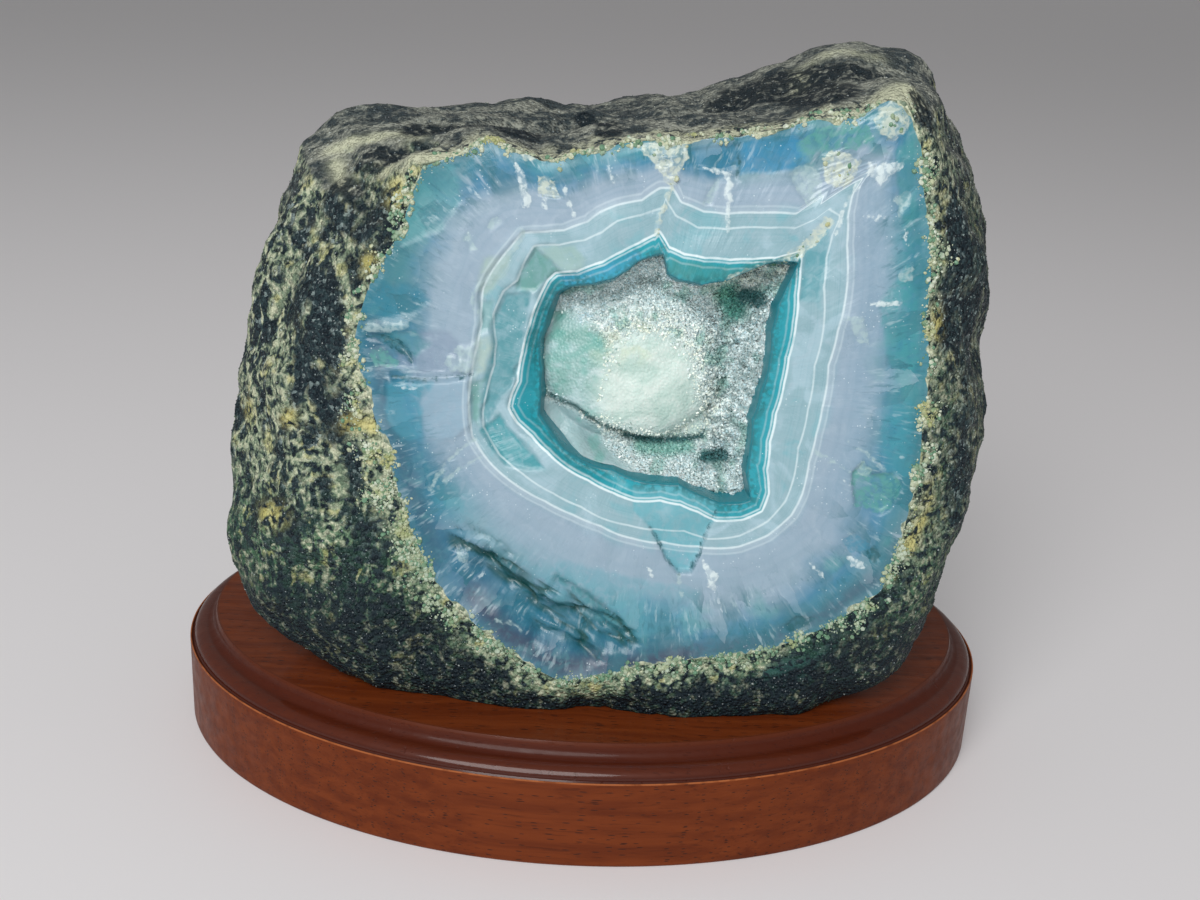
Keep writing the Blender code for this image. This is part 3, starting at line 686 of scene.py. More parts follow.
def wrapped(name: str, rings: Array, first_tip: Array, last_tip: Array) -> tuple[bpy.types.Object, Array]:
    """Bend a sphere into a closed skin over rings of points.

    Args:
        name: The new piece's name.
        rings: Rows of points, from the tip that is seen first to the last; each runs anticlockwise.
        first_tip: The point that closes the first ring.
        last_tip: The point that closes the last ring.

    Returns:
        The piece, and for each of its points the row that it belongs to in a list of the first tip, all
        rings' points in order and the last tip.
    """
    rows, columns = rings.shape[:2]
    deselect()
    bpy.ops.mesh.primitive_uv_sphere_add(segments=columns, ring_count=rows + 1, radius=1.0)
    thing = bpy.context.object
    thing.name = name
    ball = coordinates(thing) * MM
    row = np.rint(np.arccos(np.clip(ball[:, 2], -1, 1)) * (rows + 1) / math.pi).astype(int) - 1
    column = np.rint(np.arctan2(ball[:, 1], ball[:, 0]) * columns / (2 * math.pi)).astype(int) % columns
    order = np.where(row < 0, 0, np.where(row >= rows, rows * columns + 1, row * columns + column + 1))
    listed = np.concatenate(([first_tip], rings.reshape(-1, 3), [last_tip]))
    place_points(thing, listed[order])
    thing.data.shade_smooth()
    return thing, order


def displace(thing: bpy.types.Object, weights: Array, texture: str, size: float, height: float) -> None:
    """Roughen a piece with a modifier and apply it.

    Args:
        thing: The piece.
        weights: How much of the height each point takes, from 0 to 1.
        texture: The kind of texture, such as CLOUDS or VORONOI.
        size: Width of the texture's lumps.
        height: How far the texture moves the skin in all.
    """
    group = thing.vertex_groups.new(name=texture)
    steps = np.rint(weights * WEIGHT_STEPS).astype(int)
    for step in range(1, WEIGHT_STEPS + 1):
        group.add(np.nonzero(steps == step)[0].tolist(), step / WEIGHT_STEPS, "REPLACE")
    pattern = bpy.data.textures.new(f"{thing.name} {texture.lower()}", texture)
    pattern.noise_scale = size * MM
    modifier = thing.modifiers.new("grit", "DISPLACE")
    modifier.texture = pattern
    modifier.texture_coords = "LOCAL"
    modifier.strength = height * MM
    modifier.vertex_group = group.name
    activate(thing)
    bpy.ops.object.modifier_apply(modifier=modifier.name)
    thing.vertex_groups.remove(thing.vertex_groups[texture])


def small_point(sides: int, height: float, below: float) -> bpy.types.Object:
    """Model a small point, 1 mm wide, to be copied.

    Args:
        sides: How many sides it has.
        height: How high it stands.
        below: How far a blunt point reaches below it.

    Returns:
        The shape.
    """
    deselect()
    bpy.ops.mesh.primitive_cone_add(vertices=sides, radius1=0.5 * MM, radius2=0.0, depth=height * MM,
                                    end_fill_type="TRIFAN", location=(0, 0, height / 2 * MM))
    shape = bpy.context.object
    bpy.ops.object.transform_apply(location=True)
    foot = min(shape.data.vertices, key=lambda corner: corner.co.xy.length + corner.co.z)
    foot.co.z = -below * MM
    return shape


@dataclass
class Spots:
    """Places on a piece's skin where small copies go."""

    points: Array
    outward: Array
    corners: Array

    @classmethod
    def on(cls, thing: bpy.types.Object, count: int, weights: Array, chance: np.random.Generator) -> "Spots":
        """Choose places by chance.

        Args:
            thing: The piece that carries them.
            count: How many places there are.
            weights: How likely each of the piece's points is to have one close by.
            chance: The source of random numbers.

        Returns:
            The places, each with its outward direction and the piece's nearest corner.
        """
        mesh = thing.data
        mesh.calc_loop_triangles()
        flat = np.empty(len(mesh.loop_triangles) * 3, np.int32)
        mesh.loop_triangles.foreach_get("vertices", flat)
        triangles = flat.reshape(-1, 3)
        places = coordinates(thing)[triangles]
        across = np.cross(places[:, 1] - places[:, 0], places[:, 2] - places[:, 0])
        likely = np.linalg.norm(across, axis=1) * weights[triangles].mean(1)
        chosen = chance.choice(len(triangles), count, p=likely / likely.sum())
        shares = chance.dirichlet((1.0, 1.0, 1.0), count)
        points = (places[chosen] * shares[:, :, None]).sum(1)
        outward = (normals(thing)[triangles[chosen]] * shares[:, :, None]).sum(1)
        outward /= np.linalg.norm(outward, axis=1, keepdims=True)
        corners = triangles[chosen, shares.argmax(1)]
        return cls(points, outward, corners)


def scatter(name: str, shape: bpy.types.Object, spots: Spots, sizes: Array, tilt: float,
            chance: np.random.Generator) -> bpy.types.Object:
    """Copy a small shape to many places, as one piece.

    Args:
        name: The new piece's name.
        shape: The shape, about 1 mm wide, which is removed afterwards.
        spots: Where the copies stand.
        sizes: Width, width and height of each copy, one row each.
        tilt: How far a copy may lean away from outward, as a share of its height.
        chance: The source of random numbers.

    Returns:
        The piece that holds all the copies.
    """
    count = len(spots.points)
    corners = coordinates(shape)
    shape.data.calc_loop_triangles()
    faces = np.array([tuple(triangle.vertices) for triangle in shape.data.loop_triangles])
    up = spots.outward + tilt * chance.normal(size=(count, 3))
    up /= np.linalg.norm(up, axis=1, keepdims=True)
    side = np.cross(up, chance.normal(size=(count, 3)))
    side /= np.linalg.norm(side, axis=1, keepdims=True)
    turned = np.stack((side, np.cross(up, side), up), axis=1) * sizes[:, :, None]
    points = np.einsum("vk,nkj->nvj", corners, turned) + spots.points[:, None, :]
    indices = faces[None] + (np.arange(count) * len(corners))[:, None, None]
    mesh = bpy.data.meshes.new(name)
    mesh.from_pydata((points.reshape(-1, 3) * MM).tolist(), [], indices.reshape(-1, 3).tolist())
    thing = bpy.data.objects.new(name, mesh)
    bpy.context.scene.collection.objects.link(thing)
    bpy.data.objects.remove(shape)
    set_attribute(thing, "chance", np.repeat(chance.random(count), len(corners)))
    return thing


def copied(values: Array, spots: Spots, thing: bpy.types.Object) -> Array:
    """Give every point of the copies the value of the corner that each copy stands beside."""
    each = len(thing.data.vertices) // len(spots.corners)
    return np.repeat(values[spots.corners], each, axis=0)


def finished(thing: bpy.types.Object, node: str, slot: str, *materials: bpy.types.Material) -> None:
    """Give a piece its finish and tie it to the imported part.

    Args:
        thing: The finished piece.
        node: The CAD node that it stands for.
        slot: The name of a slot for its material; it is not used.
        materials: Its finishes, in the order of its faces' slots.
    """
    thing.data.materials.clear()
    for material in materials:
        thing.data.materials.append(material)
    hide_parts(node)
    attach(thing, BODY)
    log.info("%s: %d faces", thing.name, len(thing.data.polygons))


# Node trees


class Nodes:
    """Adds nodes to one tree. Most methods return the new node's output."""

    def __init__(self, tree: bpy.types.NodeTree) -> None:
        self.tree = tree

    def plug(self, socket: bpy.types.NodeSocket, value: Any) -> None:
        """Link an output to a socket, or set the socket to a number, row of numbers or colour."""
        if isinstance(value, bpy.types.NodeSocket):
            self.tree.links.new(value, socket)
        elif socket.type == "RGBA" and len(value) == 3:
            socket.default_value = (*value, 1.0)
        else:
            socket.default_value = value

    def fill(self, node: bpy.types.Node, inputs: dict[Any, Any]) -> None:
        """Give a node's inputs their values or outputs, by name or number."""
        for name, value in inputs.items():
            self.plug(node.inputs[name], value)

    def add(self, kind: str, inputs: dict[Any, Any], **settings: Any) -> bpy.types.Node:
        """Add a node.

        Args:
            kind: The node's type, without its prefix ShaderNode.
            inputs: A value or output for each socket, by the socket's name or number.
            settings: The node's own settings.

        Returns:
            The node.
        """
        node = self.tree.nodes.new(f"ShaderNode{kind}")
        for name, setting in settings.items():
            setattr(node, name, setting)
        self.fill(node, inputs)
        return node

    def math(self, operation: str, first: Any, second: Any = 0.0, clamp: bool = False) -> Any:
        """Work out one sum."""
        return self.add("Math", {0: first, 1: second}, operation=operation, use_clamp=clamp).outputs[0]

    def joint(self, operation: str, values: Sequence[Any]) -> Any:
        """Work out one sum over a whole row of values."""
        return reduce(lambda so_far, value: self.math(operation, so_far, value), values)

    def plus(self, *values: Any) -> Any:
        """Add several values."""
        return self.joint("ADD", values)

    def minus(self, first: Any, second: Any) -> Any:
        """Take one value from another."""
        return self.math("SUBTRACT", first, second)

    def times(self, *factors: Any) -> Any:
        """Multiply several values."""
        return self.joint("MULTIPLY", factors)

    def either(self, *masks: Any) -> Any:
        """Take the strongest of several masks."""
        return self.joint("MAXIMUM", masks)

    def without(self, mask: Any, *others: Any) -> Any:
        """Take a mask where none of the others is."""
        return self.times(mask, *(self.minus(1.0, other) for other in others))

    def swing(self, value: Any, height: float) -> Any:
        """Swing about nought by that height in all, as the value goes from 0 to 1."""
        return self.times(self.minus(value, 0.5), height)

    def step(self, value: Any, low: float, high: float, start: Any = 0.0, end: Any = 1.0) -> Any:
        """Rise smoothly from start to end as the value goes from low to high."""
        inputs = {"Value": value, "From Min": low, "From Max": high, "To Min": start, "To Max": end}
        return self.add("MapRange", inputs, interpolation_type="SMOOTHSTEP").outputs[0]

    def mix(self, share: Any, first: Any, second: Any) -> Any:
        """Mix two colours."""
        return self.add("Mix", {0: share, 6: first, 7: second}, data_type="RGBA").outputs[2]

    def ramp(self, value: Any, stops: Sequence[tuple[float, Colour]]) -> Any:
        """Read a colour from a row of stops.

        Args:
            value: Where to read, from 0 to 1.
            stops: A position from 0 to 1 and a colour for each stop, in order.

        Returns:
            The colour.
        """
        node = self.add("ValToRGB", {0: value})
        elements = node.color_ramp.elements
        for _ in stops[2:]:
            elements.new(0.5)
        for element, (position, _) in zip(elements, stops):
            element.position = position
        for element, (_, colour) in zip(elements, stops):
            element.color = (*colour, 1.0)
        return node.outputs[0]

    def scaled(self, vector: Any, factors: tuple[float, float, float]) -> Any:
        """Stretch a vector along its axes."""
        return self.add("VectorMath", {0: vector, 1: factors}, operation="MULTIPLY").outputs[0]

    def shifted(self, vector: Any, step: Any) -> Any:
        """Add a vector to a vector."""
        return self.add("VectorMath", {0: vector, 1: step}, operation="ADD").outputs[0]

    def attribute(self, name: str, output: str = "Fac") -> Any:
        """Read an attribute: as one number, unless another output is named."""
        return self.add("Attribute", {}, attribute_name=name).outputs[output]

    def split(self, vector: Any) -> tuple[Any, Any, Any]:
        """Take a vector apart."""
        return tuple(self.add("SeparateXYZ", {0: vector}).outputs)

    def parts(self, name: str) -> tuple[Any, Any, Any]:
        """Read an attribute of three numbers."""
        return self.split(self.attribute(name, "Vector"))

    def joined(self, x: Any, y: Any, z: Any) -> Any:
        """Make a vector of three values."""
        return self.add("CombineXYZ", {0: x, 1: y, 2: z}).outputs[0]

    def noise(self, vector: Any, size: float, detail: float = 2.0, distortion: float = 0.0,
              shift: Any = None) -> Any:
        """Read soft noise.

        Args:
            vector: Where to read it.
            size: Width of its lumps.
            detail: How many finer sizes it has.
            distortion: How far it is warped.
            shift: Moves the noise, for one that differs.

        Returns:
            The noise, about 0.5 in the middle.
        """
        vector = self.shifted(vector, shift) if shift else vector
        inputs = {"Vector": vector, "Scale": 1 / size, "Detail": detail, "Distortion": distortion}
        return self.add("TexNoise", inputs).outputs[0]

    def cells(self, vector: Any, size: float) -> Any:
        """The outputs of cells of that size."""
        return self.add("TexVoronoi", {"Vector": vector, "Scale": 1 / size}).outputs

    def bump(self, height: Any, distance: float, strength: float = 1.0) -> Any:
        """Turn heights from 0 to 1 into a rough surface that is so many millimetres deep."""
        inputs = {"Height": height, "Distance": distance * MM, "Strength": strength}
        return self.add("Bump", inputs).outputs[0]


class SharedGroup:
    """A node group that several finishes use; it is built once."""

    name: str = ""
    inputs: tuple[tuple[str, str], ...] = ()
    outputs: tuple[tuple[str, str], ...] = ()

    def tree(self) -> bpy.types.NodeTree:
        """Find the group, or build it the first time.

        Returns:
            The group's tree.
        """
        found = bpy.data.node_groups.get(self.name)
        if found:
            return found
        tree = bpy.data.node_groups.new(self.name, "ShaderNodeTree")
        for name, kind in self.inputs:
            tree.interface.new_socket(name, in_out="INPUT", socket_type=f"NodeSocket{kind}")
        for name, kind in self.outputs:
            tree.interface.new_socket(name, in_out="OUTPUT", socket_type=f"NodeSocket{kind}")
        entry = tree.nodes.new("NodeGroupInput")
        leave = tree.nodes.new("NodeGroupOutput")
        nodes = Nodes(tree)
        nodes.fill(leave, self.build(nodes, entry.outputs))
        return tree

    def build(self, nodes: Nodes, given: Any) -> dict[str, Any]:
        """Add the group's nodes; each group has its own."""
        raise NotImplementedError

    def use(self, nodes: Nodes, vector: Any, factors: tuple[float, float, float], **others: Any) -> Any:
        """Use the group in a tree.

        Args:
            nodes: The tree.
            vector: The group's vector, before it is stretched.
            factors: How far it is stretched along each axis.
            others: The group's other inputs.

        Returns:
            The new node's outputs.
        """
        inputs = {"Vector": nodes.scaled(vector, factors), **others}
        return nodes.add("Group", inputs, node_tree=self.tree()).outputs


class Flecks(SharedGroup):
    """Small specks, each in a cell of its own, of which only a share is filled."""

    name = "flecks"
    inputs = (("Vector", "Vector"), ("Share", "Float"))
    outputs = (("Mask", "Float"),)

    def build(self, nodes: Nodes, given: Any) -> dict[str, Any]:
        """Add the group's nodes.

        Args:
            nodes: The group's node tree.
            given: The group's inputs by name.

        Returns:
            The group's outputs by name.
        """
        cells = nodes.cells(given["Vector"], 1.0)
        filled = nodes.math("LESS_THAN", nodes.split(cells["Color"])[0], given["Share"])
        return {"Mask": nodes.times(nodes.step(cells["Distance"], 0.32, 0.22), filled)}


class Grains(SharedGroup):
    """A granular surface: two tones for each grain, and rounded heights."""

    name = "grains"
    inputs = (("Vector", "Vector"),)
    outputs = (("Tone", "Float"), ("Other", "Float"), ("Height", "Float"))

    def build(self, nodes: Nodes, given: Any) -> dict[str, Any]:
        """Add the group's nodes.

        Args:
            nodes: The group's node tree.
            given: The group's inputs by name.

        Returns:
            The group's outputs by name.
        """
        cells = nodes.cells(given["Vector"], 1.0)
        tone, other, _ = nodes.split(cells["Color"])
        return {"Tone": tone, "Other": other, "Height": nodes.step(cells["Distance"], 0.75, 0.1)}


FLECKS = Flecks()
GRAINS = Grains()


class Coat(Nodes):
    """A material in the making: its nodes and the colour so far."""

    def __init__(self, name: str) -> None:
        self.material = bpy.data.materials.new(name)
        self.material.use_nodes = True
        super().__init__(self.material.node_tree)
        self.colour: Any = None

    @cached_property
    def at(self) -> Any:
        """The place on the piece, in millimetres."""
        return self.scaled(self.add("TexCoord", {}).outputs["Object"], (1 / MM, 1 / MM, 1 / MM))

    def cover(self, shade: Any, *masks: Any) -> None:
        """Lay a shade over the colour so far, where all the masks are."""
        self.colour = self.mix(self.times(*masks), self.colour, shade)

    def finish(self, inputs: dict[str, Any]) -> bpy.types.Material:
        """Give the main shader the colour and its other inputs, and hand over the material."""
        self.fill(self.tree.nodes["Principled BSDF"], {"Base Color": self.colour, **inputs})
        return self.material


# Finishes


@dataclass(frozen=True)
class BandedFace:
    """The broken, banded face: turquoise inside, grey-teal between white lines, lilac and blue outside."""

    name: str = "banded agate"
    wall: Colour = (0.02, 0.22, 0.27)
    granular: Colour = (0.012, 0.14, 0.15)
    turquoise: Colour = (0.012, 0.31, 0.38)
    grey_teal: Colour = (0.25, 0.41, 0.46)
    mist: Colour = (0.50, 0.66, 0.76)
    clear: Colour = (0.13, 0.40, 0.46)
    lilac: Colour = (0.27, 0.37, 0.46)
    blue: Colour = (0.030, 0.185, 0.315)
    sea_green: Colour = (0.08, 0.31, 0.30)
    teal: Colour = (0.026, 0.190, 0.255)
    deep_teal: Colour = (0.025, 0.14, 0.18)
    white: Colour = (0.70, 0.82, 0.84)
    lavender: Colour = (0.44, 0.53, 0.60)
    pale_blue: Colour = (0.56, 0.70, 0.74)
    cream: Colour = (0.55, 0.57, 0.40)
    dark_crust: Colour = (0.13, 0.19, 0.13)
    cleft_shade: Colour = (0.004, 0.06, 0.055)
    roughest: float = 0.44
    smoothest: float = 0.26
    paints: tuple[tuple[Paint, Colour, float], ...] = (
        (Paint.BLUE, (0.035, 0.22, 0.33), 0.6),
        (Paint.GREEN, (0.09, 0.31, 0.28), 0.75),
        (Paint.PALE, (0.40, 0.54, 0.54), 0.6),
        # Painted shade for the dark chips and veins
        (Paint.DARK, (0.015, 0.10, 0.12), 0.85),
        (Paint.WHITE, (0.66, 0.76, 0.76), 0.8),
        (Paint.CREAM, (0.56, 0.63, 0.54), 0.85),
    )

    def material(self) -> bpy.types.Material:
        """Build the finish.

        Returns:
            The material.
        """
        coat = FaceCoat(self)
        for lay in (coat.lay_bands, coat.lay_clouds, coat.lay_threads, coat.lay_facets, coat.lay_strands,
                    coat.lay_white_lines, coat.lay_chips, coat.lay_wall, coat.lay_crust):
            lay()
        rough = coat.step(coat.middling, 0.3, 0.7, self.smoothest, self.roughest)
        return coat.finish({"Roughness": rough, "Normal": coat.bump(coat.relief(), 0.35, 0.7)})


class FaceCoat(Coat):
    """The face's material in the making. Each step lays something over the colour so far."""

    def __init__(self, look: BandedFace) -> None:
        super().__init__(look.name)
        self.look = look
        self.band = self.attribute("band")
        self.ray = self.attribute("ray", "Vector")
        self.to_rim, self.to_edge, _ = self.parts("ends")
        self.middling = self.noise(self.at, 5.0, 3.0, 0.6)
        self.fine = self.noise(self.at, 1.4, 3.0)
        self.rays = self.noise(self.scaled(self.ray, (1.0, 1.0, 0.10)), 0.02, 2.0)
        self.level = self.plus(self.band, self.swing(self.middling, 0.10))
        self.broken_off = self.step(self.band, 3.25, 3.65, 0.1, 1.0)
        self.patchy = self.times(self.step(self.noise(self.at, 9.0, shift=(0, 0, 70)), 0.45, 0.6),
                                 self.step(self.band, 3.35, 3.6))
        wobble = self.joined(self.times(self.middling, 3.0), self.times(self.fine, 1.2), 0.0)
        self.bent = self.shifted(self.scaled(self.ray, (48.0, 48.0, 14.0)), wobble)
        self.plates = self.cells(self.bent, 4.5)
        self.tone = self.split(self.plates["Color"])[0]
        self.grains = GRAINS.use(self, self.at, (1.25, 1.25, 1.25))
        reach = self.minus(self.times(self.noise(self.at, 5.0), 5.0), 1.9)
        reach = self.minus(reach, self.times(self.cells(self.at, 3.4)["Distance"], 0.9))
        self.crust = self.step(self.plus(self.to_edge, reach), -0.1, 0.15)

    def lay_bands(self) -> None:
        """Start with the bands, from turquoise at the hollow to deep teal at the rind."""
        look = self.look
        wander = self.swing(self.noise(self.at, 14.0, 3.0), 0.8)
        outer = self.plus(self.level, self.times(wander, self.step(self.band, 3.0, 3.5)))
        self.colour = self.ramp(self.times(outer, 0.25), (
            (0.0, look.turquoise), (0.22, look.turquoise), (0.27, look.grey_teal), (0.72, look.grey_teal),
            (0.77, look.lilac), (0.86, look.lilac), (0.92, look.blue), (0.97, look.teal),
            (1.0, look.deep_teal)))

    def lay_clouds(self) -> None:
        """Lay blue and green clouds outside, and milky and clear patches between the white lines."""
        outside = self.step(self.band, 3.25, 3.6)
        clouds = self.noise(self.at, 6.0, 4.0, 1.0)
        self.cover(self.look.deep_teal, self.step(clouds, 0.45, 0.62), outside, 0.5)
        green = self.noise(self.at, 8.0, 3.0, shift=(50, 0, 0))
        self.cover(self.look.sea_green, self.step(green, 0.52, 0.66), outside, 0.5)
        between = self.times(self.step(self.band, 0.98, 1.06), self.step(self.band, 3.15, 2.95))
        misty = self.noise(self.at, 7.0, 4.0, 0.8, shift=(0, 0, 15))
        self.cover(self.look.mist, self.step(misty, 0.5, 0.66, 0.0, 0.32), between)
        self.cover(self.look.clear, self.step(misty, 0.46, 0.32, 0.0, 0.5), between)

    def lay_threads(self) -> None:
        """Lay thin bands side by side, some milk, and radial fibres."""
        thread = self.noise(self.joined(self.times(self.level, 11.0), 0.0, 0.0), 1.0, 3.0)
        past_a = self.step(self.band, 0.95, 1.05)
        self.cover(self.look.lavender, self.step(thread, 0.35, 0.7, 0.0, 0.12), past_a)
        self.cover(self.look.teal, self.step(thread, 0.5, 0.25, 0.0, 0.18))
        milk = self.step(self.noise(self.at, 3.0, 4.0, 0.8, shift=(0, 0, 30)), 0.5, 0.75, 0.0, 0.25)
        self.cover(self.look.lavender, milk, past_a, self.step(self.band, 3.3, 3.6, 1.0, 0.4))
        self.cover(self.look.lavender, self.step(self.rays, 0.56, 0.72, 0.0, 0.5), self.patchy)
        self.cover(self.look.deep_teal, self.step(self.rays, 0.42, 0.28, 0.0, 0.5), self.patchy)

    def lay_facets(self) -> None:
        """Lay the tinted zones, and broken facets that fade as they run outward."""
        from_middle = self.add("VectorMath", {0: self.bent, 1: self.plates["Position"]}, operation="SUBTRACT")
        sideways, _, onward = self.split(from_middle.outputs[0])
        fading = self.times(self.step(onward, -2.2, 2.0), self.step(sideways, -2.5, 1.5, 0.3, 1.0),
                            self.broken_off)
        torn = self.step(self.noise(self.at, 1.8, 4.0, 0.8), 0.3, 0.6, 0.55, 1.0)
        self.cover(self.attribute("tint", "Color"), self.attribute("tint", "Alpha"), torn)
        self.cover(self.look.deep_teal, self.step(self.tone, 0.55, 0.1, 0.0, 0.75), fading)
        self.cover(self.look.lavender, self.step(self.tone, 0.7, 1.0, 0.0, 0.35), fading)

    def lay_strands(self) -> None:
        """Lay radial strands, painted shade in the clefts, and short pale flakes."""
        wobble = self.joined(self.times(self.middling, 2.5), 0.0, 0.0)
        strands = self.noise(self.shifted(self.scaled(self.ray, (60.0, 60.0, 9.0)), wobble), 1.0, 2.0)
        here = self.step(self.noise(self.at, 6.0, 3.0, shift=(0, 0, 40)), 0.46, 0.62, 0.05, 1.0)
        self.cover(self.look.pale_blue, self.step(strands, 0.54, 0.70), self.broken_off, here, 0.34)
        self.cover(self.look.deep_teal, self.step(strands, 0.42, 0.34), self.broken_off,
                   self.step(self.middling, 0.56, 0.44), 0.45)
        # Painted shade in the clefts at the lower left
        self.cover(self.look.cleft_shade, self.step(self.attribute("cleft"), 0.15, 1.0, 0.0, 0.92))
        flakes = FLECKS.use(self, self.bent, (0.75, 0.75, 0.30), Share=0.16)
        self.cover(self.look.white, flakes["Mask"], self.step(self.fine, 0.35, 0.6), self.patchy, 0.55)

    def lay_white_lines(self) -> None:
        """Lay the white lines between the bands, with a halo outside the outermost."""
        to_a, to_b, to_c = self.parts("lines")
        broken = self.step(self.middling, 0.25, 0.5, 0.6, 1.0)
        shake = self.swing(self.fine, 0.18)
        self.cover(self.look.lavender, self.step(to_c, 1.8, 0.2), self.step(to_c, -0.2, 0.1), 0.35)
        for gap, offset, half_width, strength in (
                (to_c, 0.0, 0.13, 0.65), (to_c, 1.1, 0.12, 0.22), (to_b, 0.0, 0.11, 0.55),
                (to_a, 0.0, 0.15, 0.95), (to_a, -0.62, 0.11, 0.6), (to_a, -1.7, 0.12, 0.2)):
            away = self.plus(self.math("ABSOLUTE", self.minus(gap, offset)), shake)
            line = self.step(away, half_width + 0.2, half_width - 0.08)
            self.cover(self.look.white, line, broken, strength)

    def lay_chips(self) -> None:
        """Lay chips and veins with ragged edges, the dark ones as painted shade, and white specks."""
        shake = self.swing(self.noise(self.at, 1.3, 4.0), 2.2)
        body = self.step(self.noise(self.at, 1.1, 4.0, 0.5), 0.36, 0.6, 0.3, 1.0)
        for paint, shade, strength in self.look.paints:
            gap = self.plus(self.attribute(paint.value), shake)
            self.cover(shade, self.step(gap, 0.2, -0.2), body, strength)
        specks = FLECKS.use(self, self.at, (2.2, 2.2, 2.2), Share=0.14)
        dusty = self.step(self.noise(self.at, 5.0, 3.0, shift=(20, 0, 0)), 0.5, 0.68, 0.0, 0.6)
        self.cover(self.look.white, specks["Mask"], dusty)

    def lay_wall(self) -> None:
        """Lay a dark granular ring round the hollow, and the hollow's wall."""
        ring = self.step(self.plus(self.to_rim, self.times(self.middling, 3.0)), 4.2, 1.2)
        worn = self.step(self.noise(self.at, 0.9, 4.0), 0.38, 0.58)
        self.cover(self.look.granular, ring, worn, self.step(self.band, 1.0, 0.8), 0.8)
        self.cover(self.look.deep_teal, self.step(self.math("ABSOLUTE", self.to_rim), 0.4, 0.05, 0.0, 0.6))
        self.cover(self.look.wall, self.step(self.to_rim, 0.15, -0.4))

    def lay_crust(self) -> None:
        """Lay the granular crust beside the rind."""
        self.cover(self.mix(self.grains["Tone"], self.look.dark_crust, self.look.cream), self.crust)

    def relief(self) -> Any:
        """Work out how far the surface stands out.

        Returns:
            The height, about 1 at most.
        """
        crusty = self.times(self.crust, self.grains["Height"])
        return self.plus(self.times(self.rays, 0.3), self.times(self.fine, 0.25),
                         self.times(self.tone, self.broken_off, 0.8), crusty)


